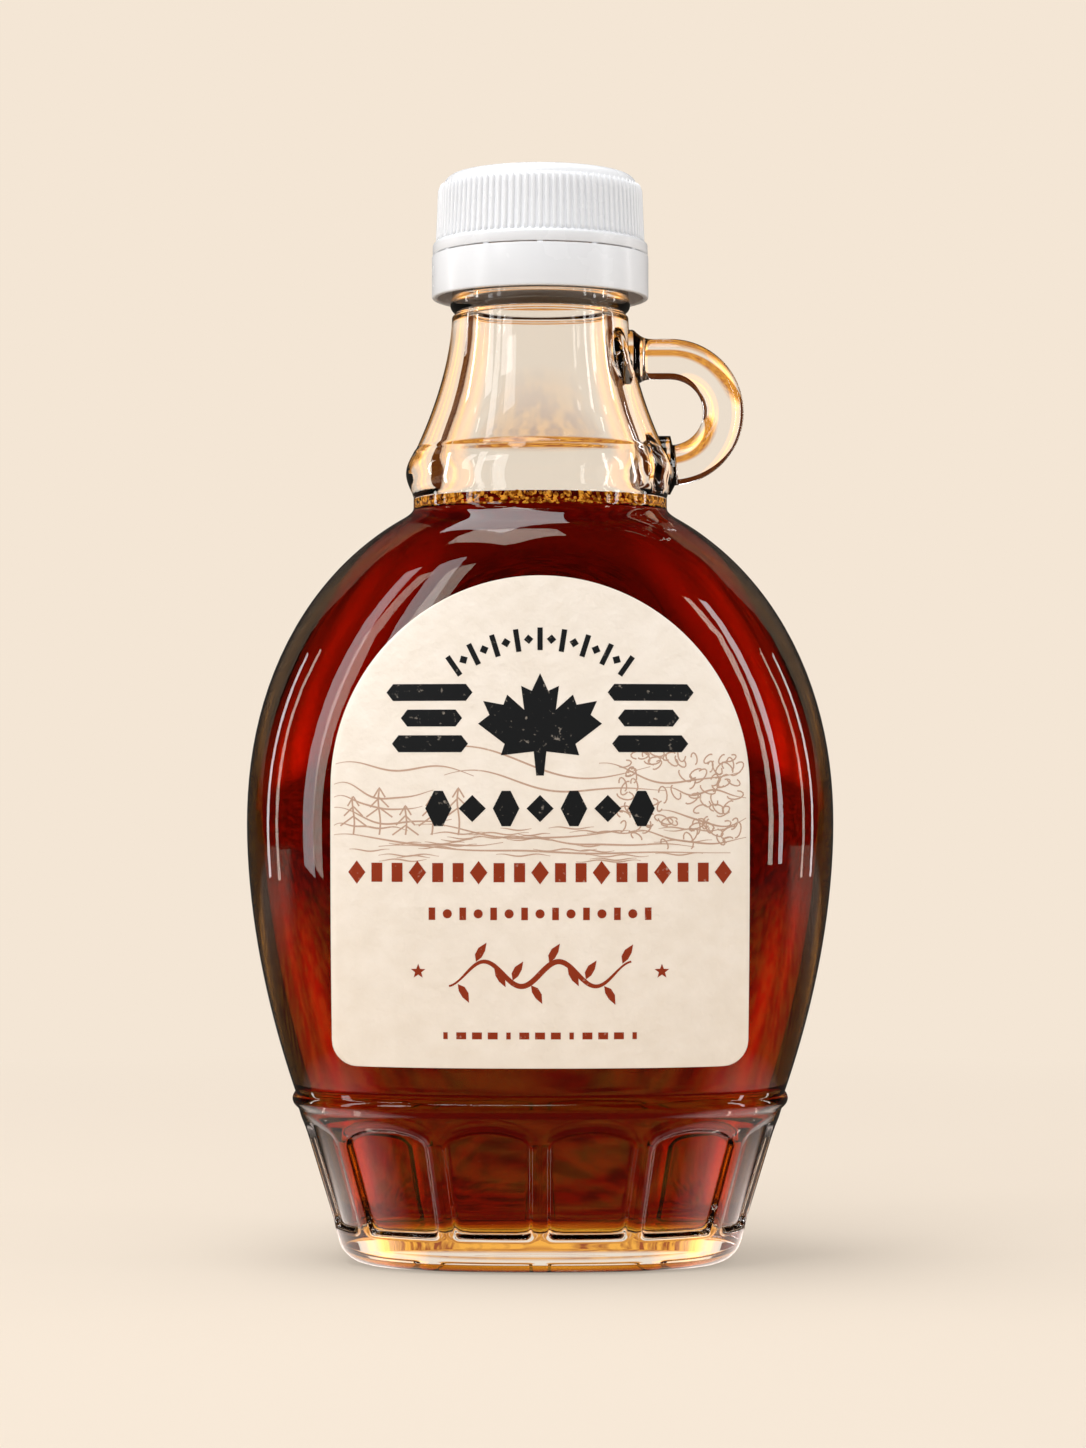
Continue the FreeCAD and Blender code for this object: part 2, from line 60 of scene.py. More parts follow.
WIDEST_LEVEL = 62.0
BODY_HALF = (41.72, 25.08)  # half width and half depth at the widest level
WAIST_HALF = (34.8, 20.9)
SKIRT_HALF = (34.4, 20.65)
FOOT_HALF = (27.7, 16.7)
BELLY_POWER, DOME_POWER, ROUNDING_POWER, SQUARENESS = 1.88, 2.12, 4.0, 2.5
BEAD_LOW, BEAD_HIGH, BEAD_PROUD = 21.8, 24.0, 0.62
ROOT_LEVEL, ROOT_RADIUS = 107.4, 15.5
HEEL_RADIUS = 2.6
PUSH_UP = 2.4  # how far the middle of the foot is hollowed
FOOT_SHARES = (0.1, 0.25, 0.4, 0.55, 0.68, 0.78, 0.86, 0.92, 0.97)  # rings under the foot
FLOOR_SHARES = (0.93, 0.85, 0.75, 0.62, 0.48, 0.33, 0.18, 0.07)  # rings on the inside's floor
WALL, NECK_WALL = 2.8, 3.0
FLOOR_TOP, FLOOR_CORNER, FLOOR_CROWN = 5.6, 4.0, 0.9

THROAT_RADIUS, THROAT_BLEND = 18.1, 1.6
COLLAR_MIDDLE, COLLAR_REACH, COLLAR_PROUD = 112.1, 3.6, 1.25
FLARE_LOW, FLARE_RADIUS, FLARE_POWER = 115.4, 17.75, 1.68
NECK_TOP, NECK_RADIUS = 134.2, 12.62
GROOVE_LEVEL, GROOVE_DEPTH, GROOVE_REACH = 134.8, 0.45, 0.6
RIM_LOW, RIM_HIGH, RIM_PROUD = 135.4, 137.0, 0.25
FINISH_RADIUS = 12.6
LIP_LEVEL = glass_high[2] / MM
LIP_ROUND, LIP_SPARE = 0.9, 0.02

FLUTES = 12
FLUTE_RIB, FLUTE_START, FLUTE_TOP, FLUTE_RISE = 1.9, 5.0, 20.2, 1.7
FLUTE_SUNK, FLUTE_BEVEL, FLUTE_CORNER = 0.85, 0.62, 1.3
FRAME_SUNK, FRAME_REACH = 0.3, 1.25  # the softer step round each flute

FINE = 1440  # angles in which an oval's length is added up

LOOP_LEVEL, LOOP_REACH, LOOP_RADIUS, LOOP_ROD = 120.8, 18.6, 7.6, 2.9
LOOP_FLARE, LOOP_FLARE_REACH = 1.3, 2.4
NECK_BITE, COLLAR_BITE = 1.1, 3.2  # how far the rod reaches into the neck and the collar

FILL_LEVEL = syrup_high[2] / MM
MENISCUS_RISE, MENISCUS_FALL = 0.7, 1.0
SURFACE_MIDDLE = 3.0  # radius of the innermost ring of the surface
SURFACE_INSETS = (7.0, 4.5, 3.2, 2.3, 1.7, 1.2, 0.8, 0.5, 0.25, 0.1, 0.0)
SYRUP_BITE = 0.08  # how far the syrup's skin reaches into the wall
BUBBLE_RIBBON = ((0.5, 2.0), (0.42, 1.2), (0.4, 0.5), (0.42, 0.1))  # in from the wall, down
RIBBON_COLUMNS = 96
BUBBLES_PER_SQUARE_METRE = 3.4e6
BUBBLE_RADIUS = 0.3


# -------------------- the oval form


def climb(level):
    return np.clip((level - WIDEST_LEVEL) / (ROOT_LEVEL - WIDEST_LEVEL), 0.0, 1.0)


def oval_half(level, side):
    """Half width (side 0) or half depth (side 1) under the widest level, bead left out."""
    widest, waist = BODY_HALF[side], WAIST_HALF[side]
    skirt, foot = SKIRT_HALF[side], FOOT_HALF[side]
    under = np.clip((WIDEST_LEVEL - level) / (WIDEST_LEVEL - BEAD_HIGH), 0.0, 1.0)
    belly = widest - (widest - waist) * under**BELLY_POWER
    share = np.clip((level - BEAD_LOW) / (BEAD_HIGH - BEAD_LOW), 0.0, 1.0)
    step = skirt + (waist - skirt) * share
    cone = foot + (skirt - foot) * level / BEAD_LOW
    return np.where(level >= BEAD_HIGH, belly, np.where(level > BEAD_LOW, step, cone))


def dome_half(level):
    """Half width over the widest level."""
    open_share = (1 - (ROOT_RADIUS / BODY_HALF[0]) ** DOME_POWER) ** (1 / DOME_POWER)
    inner = 1 - (climb(level) * open_share) ** DOME_POWER
    return BODY_HALF[0] * inner ** (1 / DOME_POWER)


def oval_sizes(level):
    """Half width, half depth and squareness of the oval at levels."""
    level = np.asarray(level, dtype=float)
    flatness = BODY_HALF[1] / BODY_HALF[0]
    roundness = climb(level) ** ROUNDING_POWER
    dome = dome_half(level)
    upper = level >= WIDEST_LEVEL
    across = np.where(upper, dome, oval_half(level, 0))
    deep = np.where(upper, dome * (flatness + (1 - flatness) * roundness), oval_half(level, 1))
    share = climb(level)
    power = SQUARENESS + (2 - SQUARENESS) * share * share * (3 - 2 * share)
    return across, deep, power


def oval_radius(across, deep, power, angle):
    """Polar radius of a superellipse."""
    powers = np.abs(np.cos(angle) / across) ** power + np.abs(np.sin(angle) / deep) ** power
    return powers ** (-1 / power)


def bead_bulge(level):
    """The bead round the waist: a round bar between two small steps."""
    share = np.clip((level - BEAD_LOW) / (BEAD_HIGH - BEAD_LOW), 0.0, 1.0)
    return BEAD_PROUD * np.sin(math.pi * share) ** 0.8


def soft_max(a, b, blend):
    """The larger of two radii with a fillet where they meet."""
    near = np.maximum(blend - np.abs(a - b), 0.0) / blend
    return np.maximum(a, b) + near * near * blend / 4


def neck_radius(level):
    """Outside radius of the throat, collar, flare, neck, groove, rim and finish."""
    level = np.asarray(level, dtype=float)
    along = np.clip((level - COLLAR_MIDDLE) / COLLAR_REACH, -1.0, 1.0)
    lean = np.clip((level - (COLLAR_MIDDLE - COLLAR_REACH)) / (2 * COLLAR_REACH), 0.0, 1.0)
    collar = THROAT_RADIUS + (FLARE_RADIUS - THROAT_RADIUS) * lean
    collar = collar + COLLAR_PROUD * np.cos(along * math.pi / 2) ** 1.25
    open_share = np.clip((NECK_TOP - level) / (NECK_TOP - FLARE_LOW), 0.0, 1.0)
    flare = NECK_RADIUS + (FLARE_RADIUS - NECK_RADIUS) * open_share**FLARE_POWER
    radius = np.where(level < FLARE_LOW, collar, flare)
    groove = np.clip(1 - np.abs(level - GROOVE_LEVEL) / GROOVE_REACH, 0.0, 1.0)
    radius = radius - GROOVE_DEPTH * groove * groove * (3 - 2 * groove)
    rim = np.clip((level - RIM_LOW) / (RIM_HIGH - RIM_LOW), 0.0, 1.0)
    return radius + RIM_PROUD * np.sin(math.pi * rim) ** 0.5


def outer_radius(level, angle):
    """Outside radius of the glass from the foot to the lip."""
    across, deep, power = oval_sizes(level)
    body = oval_radius(across, deep, power, angle)
    level = np.asarray(level, dtype=float) + 0 * np.asarray(angle)
    joined = soft_max(body, neck_radius(level), THROAT_BLEND)
    over = np.where(level > ROOT_LEVEL, neck_radius(level), joined)
    return np.where(level < 100.0, body + bead_bulge(level), over)


def inner_dome_table():
    """Levels and oval sizes of the dome's inside, a wall within it along its own normal."""
    outer = np.linspace(WIDEST_LEVEL, ROOT_LEVEL, 400)
    half = dome_half(outer)
    lean = np.arctan2(-np.gradient(half, outer), 1.0)
    across, deep, power = oval_sizes(outer)
    inward = WALL * np.cos(lean)
    return outer - WALL * np.sin(lean), across - inward, deep - inward, power


INNER_DOME = inner_dome_table()


def bore_radius(level):
    """Inside radius of the neck, which follows the outside without its bead and rim."""
    level = np.asarray(level, dtype=float)
    open_share = np.clip((NECK_TOP - level) / (NECK_TOP - COLLAR_MIDDLE), 0.0, 1.0)
    wide = THROAT_RADIUS - NECK_WALL - (NECK_RADIUS - NECK_WALL)
    return NECK_RADIUS - NECK_WALL + wide * open_share ** (FLARE_POWER + 0.15)


def inner_radius(level, angle):
    """Inside radius of the glass from the top of its floor to the lip."""
    level = np.asarray(level, dtype=float) + 0 * np.asarray(angle)
    across, deep, power = oval_sizes(np.minimum(level, WIDEST_LEVEL))
    tapered = oval_radius(across - WALL, deep - WALL, power, angle)
    dome_sizes = [np.interp(level, INNER_DOME[0], row) for row in INNER_DOME[1:]]
    dome = oval_radius(*dome_sizes, angle)
    body = np.where(level < WIDEST_LEVEL, tapered, dome)
    bore = bore_radius(level)
    joined = soft_max(body, bore, 3.0)
    top = INNER_DOME[0].max()
    return np.where(level > top, bore, np.where(level > 95.0, joined, body))


# -------------------- columns and rings


FLUTE_PLACES = (0.0, 0.06, 0.11, 0.135, 0.155, 0.175, 0.196, 0.22, 0.255, 0.33, 0.5, 0.75)


def flute_columns():
    """Shares of the way round at which columns lie: closer together at the flutes' edges."""
    right = np.array(FLUTE_PLACES) / 2
    one = np.concatenate([right, [0.5], 1 - right[1:][::-1]])
    return np.concatenate([(one + k) / FLUTES for k in range(FLUTES)])


SHARES = flute_columns()


def angles_at(radius_at):
    """Polar angles of the columns on a ring whose radius is a function of the angle."""
    fine = np.linspace(0, TAU, FINE + 1)
    radius = radius_at(fine)
    points = np.stack([radius * np.cos(fine), radius * np.sin(fine)], axis=1)
    run = np.concatenate([[0.0], np.cumsum(np.linalg.norm(np.diff(points, axis=0), axis=1))])
    return np.interp(SHARES * run[-1], run, fine), run[-1]


def level_points(radius, angle, level):
    """Points at polar radii and angles, all at one level."""
    return np.stack([radius * np.cos(angle), radius * np.sin(angle), 0 * angle + level], axis=1)


def ring(level, radius_at):
    """One ring of points at a level."""
    angle, _ = angles_at(radius_at)
    return level_points(radius_at(angle), angle, level)


def outer_ring(level):
    return ring(level, lambda angle: outer_radius(level, angle))


def inner_ring(level):
    return ring(level, lambda angle: inner_radius(level, angle))


def oval_ring(oval_level, grown, level):
    """The oval of one level, grown all round and laid at another level."""
    across, deep, power = oval_sizes(oval_level)
    grown_radius = lambda angle: oval_radius(across + grown, deep + grown, power, angle)
    return ring(level, grown_radius)


def plain_mesh(name, points, faces):
    """A mesh of points in metres and faces."""
    mesh = bpy.data.meshes.new(name)
    mesh.from_pydata(np.asarray(points).tolist(), [], faces)
    mesh.update()
    return mesh


def ringed_piece(name, rings, low_pole, high_pole, material):
    """A closed piece through rings of the same length, with a pole at each end."""
    count = len(rings[0])
    points = np.concatenate([[low_pole], *rings, [high_pole]])
    top = len(points) - 1
    faces = []
    for column in range(count):
        after = (column + 1) % count
        faces.append((0, 1 + after, 1 + column))
        for row in range(len(rings) - 1):
            low, high = 1 + row * count, 1 + (row + 1) * count
            faces.append((low + column, low + after, high + after, high + column))
        last = 1 + (len(rings) - 1) * count
        faces.append((last + column, last + after, top))
    return closed_piece(name, points, faces, material)


def add_piece(name, mesh, material, smooth=True):
    piece = bpy.data.objects.new(name, mesh)
    bpy.context.scene.collection.objects.link(piece)
    mesh.materials.clear()
    mesh.materials.append(material)
    mesh.polygons.foreach_set("use_smooth", [smooth] * len(mesh.polygons))
    return piece


def face_outwards(piece):
    """Merges doubles and turns every face outwards."""
    work = bmesh.new()
    work.from_mesh(piece.data)
    bmesh.ops.remove_doubles(work, verts=work.verts, dist=1e-7)
    bmesh.ops.recalc_face_normals(work, faces=work.faces)
    if work.calc_volume(signed=True) < 0:
        bmesh.ops.reverse_faces(work, faces=work.faces)
    work.to_mesh(piece.data)
    work.free()
    piece.data.update()


def closed_piece(name, points, faces, material, smooth=True):
    """A closed piece of points in millimetres and faces, which all face outwards."""
    mesh = plain_mesh(name, np.asarray(points) * MM, faces)
    piece = add_piece(name, mesh, material, smooth)
    face_outwards(piece)
    return piece


def drop(piece):
    """Removes a helper object."""
    bpy.data.objects.remove(piece, do_unlink=True)


def final_mesh(piece):
    """A plain mesh of a piece with its modifiers carried out."""
    graph = bpy.context.evaluated_depsgraph_get()
    return bpy.data.meshes.new_from_object(piece.evaluated_get(graph))


# -------------------- node trees


class Bench:
    """A node tree and the few steps that looks and placings are made of."""

    def __init__(self, tree):
        self.tree, self.nodes, self.links = tree, tree.nodes, tree.links

    def fill(self, node, inputs):
        """Gives inputs of a node a value or another node's output."""
        for name, value in inputs.items():
            if isinstance(value, bpy.types.NodeSocket):
                self.links.new(value, node.inputs[name])
            else:
                node.inputs[name].default_value = value

    def node(self, kind, inputs=None, **settings):
        node = self.nodes.new(kind)
        for name, value in settings.items():
            setattr(node, name, value)
        self.fill(node, inputs or {})
        return node

    def math(self, operation, first, *others):
        """One operation on a value, or on it and each further value in turn."""
        if not others:
            return self.node("ShaderNodeMath", {0: first}, operation=operation).outputs[0]
        for value in others:
            pair = {0: first, 1: value}
            first = self.node("ShaderNodeMath", pair, operation=operation).outputs[0]
        return first

    def ranged(self, value, low, high, start=0.0, end=1.0):
        """A value mapped from one range to another."""
        limits = {"From Min": start, "From Max": end, "To Min": low, "To Max": high}
        return self.node("ShaderNodeMapRange", {"Value": value, **limits}).outputs["Result"]

    def noise(self, scale, detail, vector=None):
        """A noise pattern on object coordinates."""
        if vector is None:
            vector = self.node("ShaderNodeTexCoord").outputs["Object"]
        inputs = {"Scale": scale, "Detail": detail, "Vector": vector}
        return self.node("ShaderNodeTexNoise", inputs).outputs["Fac"]

    def cloud(self, scale, detail, start, end):
        """Noise whose soft middle range is drawn out to 0 and 1."""
        return self.ranged(self.noise(scale, detail), 0.0, 1.0, start, end)

    def mixed(self, share, first, second):
        """A colour between two, each a tone or another node's output."""
        inputs = {"Factor": share, "A": colour(first), "B": colour(second)}
        return self.node("ShaderNodeMix", inputs, data_type="RGBA").outputs["Result"]

    def bump(self, height, strength, distance):
        inputs = {"Height": height, "Strength": strength, "Distance": distance}
        return self.node("ShaderNodeBump", inputs).outputs["Normal"]

    def glow(self, tone, strength=1.0):
        inputs = {"Color": colour(tone), "Strength": strength}
        return self.node("ShaderNodeEmission", inputs).outputs["Emission"]

    def shader_mix(self, share, first, second):
        return self.node("ShaderNodeMixShader", {0: share, 1: first, 2: second}).outputs[0]


def colour(tone):
    """A tone with its alpha, or an output as it is."""
    return tone if isinstance(tone, bpy.types.NodeSocket) else (*tone, 1)


def new_tree(name, sizes):
    """The bench of a geometry node tree with named sizes, and what its inputs give."""
    tree = bpy.data.node_groups.new(name, "GeometryNodeTree")
    tree.interface.new_socket("Geometry", in_out="INPUT", socket_type="NodeSocketGeometry")
    for label, (kind, value) in sizes.items():
        socket = tree.interface.new_socket(label, in_out="INPUT", socket_type=kind)
        socket.default_value = value
    tree.interface.new_socket("Geometry", in_out="OUTPUT", socket_type="NodeSocketGeometry")
    bench = Bench(tree)
    return bench, bench.node("NodeGroupInput").outputs


def grown_piece(name, seed_piece, bench, placed, material):
    """The plain mesh of the copies that a tree makes of, or on, a small piece."""
    real = bench.node("GeometryNodeRealizeInstances", {"Geometry": placed.outputs["Instances"]})
    inputs = {"Geometry": real.outputs["Geometry"], "Material": material}
    painted = bench.node("GeometryNodeSetMaterial", inputs)
    bench.node("NodeGroupOutput", {"Geometry": painted.outputs["Geometry"]})
    modifier = seed_piece.modifiers.new(name, "NODES")
    modifier.node_group = bench.tree
    for socket in bench.tree.interface.items_tree:
        if socket.in_out == "INPUT" and socket.socket_type != "NodeSocketGeometry":
            modifier[socket.identifier] = socket.default_value
    mesh = final_mesh(seed_piece)
    drop(seed_piece)
    mesh.name = name
    return add_piece(name, mesh, material)


def place_round(name, seed_piece, count, radius, material):
    """Copies of one small piece set round the upright axis, as one plain mesh."""
    sizes = {"Count": ("NodeSocketInt", count), "Radius": ("NodeSocketFloat", radius * MM)}
    bench, given = new_tree(name + "_tree", sizes)
    inputs = {"Vertices": given["Count"], "Radius": given["Radius"]}
    circle = bench.node("GeometryNodeMeshCircle", inputs)
    index = bench.node("GeometryNodeInputIndex").outputs[0]
    turn = bench.math("MULTIPLY", bench.math("DIVIDE", TAU, given["Count"]), index)
    facing = bench.node("ShaderNodeCombineXYZ", {"Z": turn})
    placed = bench.node("GeometryNodeInstanceOnPoints", {
        "Points": circle.outputs["Mesh"],
        "Instance": given["Geometry"],
        "Rotation": facing.outputs[0],
    })
    return grown_piece(name, seed_piece, bench, placed, material)


# -------------------- glass


def eased(share):
    share = np.clip(share, 0.0, 1.0)
    return share * share * (3 - 2 * share)


def flute_depth(across, level, half_panel):
    """How deep the glass is sunk at a place in a flute, measured from its middle."""
    crown = FLUTE_TOP - FLUTE_RISE * np.clip(np.abs(across) / half_panel, 0.0, 1.4) ** 2.2
    inside_side = half_panel - np.abs(across)
    depth = 0
    for sunk, reach, corner, spare in (
        (FLUTE_SUNK, FLUTE_BEVEL, FLUTE_CORNER, 0.0),
        (FRAME_SUNK, FRAME_REACH, 2.0, FRAME_REACH * 0.85),
    ):
        side = inside_side + spare
        upright = np.minimum(level - FLUTE_START + spare * 0.5, crown - level + spare)
        cut = np.hypot(np.maximum(corner - side, 0.0), np.maximum(corner - upright, 0.0))
        nearest = np.minimum(side, upright)
        within = np.where(nearest < corner, corner - cut, nearest)
        depth = depth + sunk * eased(within / reach)
    return depth


def fluted_rings():
    """Rings of the base from its heel to the bead; they follow the flutes' arches."""
    low, high = HEEL_RADIUS + 0.15, BEAD_LOW - 0.05
    place = ((SHARES * FLUTES) % 1.0) * 2 - 1  # -1 and 1 on the ribs, 0 in the middle
    knots = (low, FLUTE_START - 0.6, FLUTE_START + 0.9, FLUTE_TOP - 2.6, FLUTE_TOP + 0.35, high)
    steps = (5, 14, 12, 22, 9)
    check_levels = np.linspace(low, high, 24)
    tables = [angles_at(lambda a, v=v: outer_radius(v, a)) for v in check_levels]
    angle_table = np.array([table[0] for table in tables])
    span_table = np.array([table[1] for table in tables])
    half_top = np.interp(FLUTE_TOP, check_levels, span_table) / FLUTES / 2 - FLUTE_RIB / 2
    reach = np.clip(np.abs(place) * (half_top + FLUTE_RIB / 2) / half_top, 0.0, 1.0)
    arch = -FLUTE_RISE * reach**2.2
    rings = []
    for part, count in enumerate(steps):
        for k in range(count + (part == len(steps) - 1)):
            share = k / count
            start, end = knots[part], knots[part + 1]
            lift_start = arch if part in (3, 4) else 0 * arch
            lift_end = arch if part in (2, 3) else 0 * arch
            levels = (start + lift_start) * (1 - share) + (end + lift_end) * share
            rings.append(fluted_ring(levels, place, check_levels, angle_table, span_table))
    return rings


def fluted_ring(levels, place, check_levels, angle_table, span_table):
    columns = range(len(levels))
    angle = np.array([np.interp(levels[c], check_levels, angle_table[:, c]) for c in columns])
    pitch = np.interp(levels, check_levels, span_table) / FLUTES
    depth = flute_depth(place * pitch / 2, levels, pitch / 2 - FLUTE_RIB / 2)
    radius = outer_radius(levels, angle)
    step = 1e-3
    slope = (outer_radius(levels, angle + step) - outer_radius(levels, angle - step)) / (2 * step)
    out = np.stack([
        radius * np.cos(angle) + slope * np.sin(angle),
        radius * np.sin(angle) - slope * np.cos(angle),
    ], axis=1)
    out /= np.linalg.norm(out, axis=1)[:, None]
    flat = np.stack([radius * np.cos(angle), radius * np.sin(angle)], axis=1)
    return np.column_stack([flat - out * depth[:, None], levels])


def spread(low, high, count):
    """Levels from low up to high, low left out."""
    return [low + (high - low) * (k + 1) / count for k in range(count)]


def foot_rings():
    """The hollowed foot, its ring of contact and the round heel."""
    rings = []
    contact = -HEEL_RADIUS
    for share in FOOT_SHARES:
        rise = PUSH_UP * (1 - share**2.6) ** 0.8
        base = oval_ring(0.0, contact, 0.0)
        rings.append(np.column_stack([base[:, :2] * share, np.full(len(base), rise)]))
    for k in range(7):
        turn = math.pi / 2 * k / 6
        level = HEEL_RADIUS * (1 - math.cos(turn))
        rings.append(oval_ring(level, contact * (1 - math.sin(turn)), level))
    return rings


def lip_rings():
    """The rounded lip over the finish, down to the bore."""
    rings = []
    top, outer, inner = LIP_LEVEL - LIP_SPARE, FINISH_RADIUS, NECK_RADIUS - NECK_WALL
    for k in range(5):
        turn = math.pi / 2 * k / 4
        radius = outer - LIP_ROUND * (1 - math.cos(turn))
        rings.append(oval_circle(radius, top - LIP_ROUND * (1 - math.sin(turn))))
    for k in range(5):
        turn = math.pi / 2 * (1 - k / 4)
        radius = inner + LIP_ROUND * (1 - math.cos(turn))
        rings.append(oval_circle(radius, top - LIP_ROUND * (1 - math.sin(turn))))
    return rings


def oval_circle(radius, level):
    return ring(level, lambda angle: radius + 0 * angle)


def floor_rings(grown=0.0):
    """Rings of the inside from over its floor corner down to near the floor's middle."""
    rings = []
    for k in range(8):
        turn = math.pi / 2 * (1 - k / 7)
        level = FLOOR_TOP + FLOOR_CORNER * (1 - math.cos(turn))
        inset = -WALL - FLOOR_CORNER * (1 - math.sin(turn)) + grown
        rings.append(oval_ring(level, inset, level - grown * math.cos(turn)))
    base = rings[-1]
    for share in FLOOR_SHARES:
        rise = FLOOR_CROWN * (1 - eased(share**1.5))
        level = FLOOR_TOP - grown + rise
        rings.append(np.column_stack([base[:, :2] * share, np.full(len(base), level)]))
    return rings


def inside_levels(top):
    """Levels of the inside rings from a top level down to over the floor corner."""
    low = FLOOR_TOP + FLOOR_CORNER
    levels = [low] + spread(low, 88.0, 22) + spread(88.0, 107.0, 22) + spread(107.0, 116.0, 10)
    levels += spread(116.0, LIP_LEVEL - LIP_ROUND - 0.4, 10)
    return [level for level in levels if level < top][::-1]


def glass_body(material):
    """Body, throat, collar, neck and lip with the inside, as one closed skin."""
    outer = foot_rings() + fluted_rings()
    levels = spread(BEAD_LOW, BEAD_HIGH, 12) + spread(BEAD_HIGH, 34.0, 7) + spread(34.0, 90.0, 26)
    levels += spread(90.0, 103.0, 14) + spread(103.0, 109.0, 24) + spread(109.0, 117.0, 26)
    levels += spread(117.0, 133.8, 18) + spread(133.8, 137.4, 20) + spread(137.4, 152.0, 4)
    outer += [outer_ring(level) for level in levels]
    inner = [inner_ring(level) for level in inside_levels(LIP_LEVEL)]
    rings = outer + lip_rings() + inner + floor_rings()[1:]
    low, high = (0, 0, PUSH_UP), (0, 0, FLOOR_TOP + FLOOR_CROWN)
    return ringed_piece("glass_jug_shell", rings, low, high, material)


def loop_rod(material):
    """The finger loop: a rod that is flared where it grows out of the neck and of the collar."""
    high, low = LOOP_LEVEL + LOOP_RADIUS, LOOP_LEVEL - LOOP_RADIUS
    neck_start = float(neck_radius(high)) - NECK_BITE
    collar_start = float(neck_radius(low)) - COLLAR_BITE
    route = [(x, high, 0.0) for x in np.linspace(neck_start, LOOP_REACH, 22)]
    route += [
        (LOOP_REACH + LOOP_RADIUS * math.sin(t), LOOP_LEVEL + LOOP_RADIUS * math.cos(t), t)
        for t in np.linspace(0, math.pi, 50)[1:-1]
    ]
    route += [(x, low, math.pi) for x in np.linspace(LOOP_REACH, collar_start, 16)]
    around = np.linspace(0, TAU, 64, endpoint=False)
    rings = []
    for x, z, turn in route:
        upper = z > LOOP_LEVEL
        skin = float(neck_radius(z))
        away = x - skin if upper or turn == math.pi else LOOP_FLARE_REACH
        flare = LOOP_FLARE * max(0.0, 1 - max(away, 0.0) / LOOP_FLARE_REACH) ** 2
        outward = np.array([math.sin(turn), 0, math.cos(turn)])
        circle = np.outer(np.cos(around), outward) * (LOOP_ROD + flare)
        circle[:, 1] = np.sin(around) * (LOOP_ROD + flare)
        rings.append(circle + np.array([x, 0, z]))
    ends = [(neck_start, 0, high), (collar_start, 0, low)]
    return ringed_piece("loop_rod", rings, *ends, material)


def fuse(piece, other):
    """Joins another closed piece to this one as one skin."""
    union = piece.modifiers.new("union", "BOOLEAN")
    union.operation = "UNION"
    union.solver = "EXACT"
    union.object = other
    mesh = final_mesh(piece)
    piece.modifiers.clear()
    piece.data = mesh
    drop(other)
    mesh.polygons.foreach_set("use_smooth", [True] * len(mesh.polygons))


def make_glass(material):
    shell = glass_body(material)
    fuse(shell, loop_rod(material))
    face_outwards(shell)
    shell.name = "glass_jug_body"
    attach(shell, "root")
    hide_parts("glass_jug")


# -------------------- syrup


def meniscus(inset):
    """Rise of the syrup's surface at a distance from the wall."""
    return MENISCUS_RISE * math.exp(-inset / MENISCUS_FALL)


def make_syrup(material):
    """The syrup: its skin reaches a little into the glass and its top edge climbs the wall."""
    edge = FILL_LEVEL - MENISCUS_RISE - 0.02
    wall_radius = float(inner_radius(FILL_LEVEL, 0.0)) + SYRUP_BITE
    surface = [oval_circle(SURFACE_MIDDLE, edge)]
    for inset in SURFACE_INSETS:
        rise = meniscus(max(inset - SYRUP_BITE, 0.0))
        surface.append(oval_circle(wall_radius - inset, edge + rise))
    sides = [
        ring(level, lambda angle: inner_radius(level, angle) + SYRUP_BITE)
        for level in inside_levels(FILL_LEVEL - 0.15)
    ]
    rings = floor_rings(SYRUP_BITE)[1:][::-1] + sides[::-1] + surface[::-1]
    low, high = (0, 0, FLOOR_TOP + FLOOR_CROWN - SYRUP_BITE), (0, 0, edge)
    piece = ringed_piece("syrup_fill", rings, low, high, material)
    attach(piece, "root")
    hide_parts("syrup")


def make_bubbles(material):
    """Tiny bubbles at the syrup's edge, scattered by geometry nodes over a narrow ribbon."""
    around = np.linspace(0, TAU, RIBBON_COLUMNS, endpoint=False)
    ribbon, faces = [], []
    for inset, under in BUBBLE_RIBBON:
        level = FILL_LEVEL - under
        ribbon.append(level_points(inner_radius(level, around) - inset, around, level))
    for row in range(len(ribbon) - 1):
        low, high = row * RIBBON_COLUMNS, (row + 1) * RIBBON_COLUMNS
        for c in range(RIBBON_COLUMNS):
            d = (c + 1) % RIBBON_COLUMNS
            faces.append((low + c, low + d, high + d, high + c))
    mesh = plain_mesh("bubble_ribbon", np.concatenate(ribbon) * MM, faces)
    seed_piece = add_piece("bubble_ribbon", mesh, material)
    sizes = {
        "Per Square Metre": ("NodeSocketFloat", BUBBLES_PER_SQUARE_METRE),
        "Radius": ("NodeSocketFloat", BUBBLE_RADIUS * MM),
        "Seed": ("NodeSocketInt", 11),
    }
    bench, given = new_tree("bubble_tree", sizes)
    scatter = bench.node("GeometryNodeDistributePointsOnFaces", {
        "Mesh": given["Geometry"],
        "Density": given["Per Square Metre"],
        "Seed": given["Seed"],
    })
    ball = bench.node("GeometryNodeMeshIcoSphere", {"Subdivisions": 2, "Radius": given["Radius"]})
    swell = bench.node(
        "FunctionNodeRandomValue", {2: 0.45, 3: 1.25, "Seed": given["Seed"]}, data_type="FLOAT"
    )
    placed = bench.node("GeometryNodeInstanceOnPoints", {
        "Points": scatter.outputs["Points"],
        "Instance": ball.outputs["Mesh"],
        "Scale": swell.outputs[1],
    })
    piece = grown_piece("syrup_bubbles", seed_piece, bench, placed, material)
    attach(piece, "root")


# -------------------- label


LABEL_HALF = label_high[0] / MM
LABEL_LOW, LABEL_HIGH = label_low[2] / MM, label_high[2] / MM
LABEL_CORNER = 3.5
LABEL_COLUMNS = 61
PAPER_BACK, PAPER_FRONT, INK_FRONT = 0.005, 0.11, 0.135


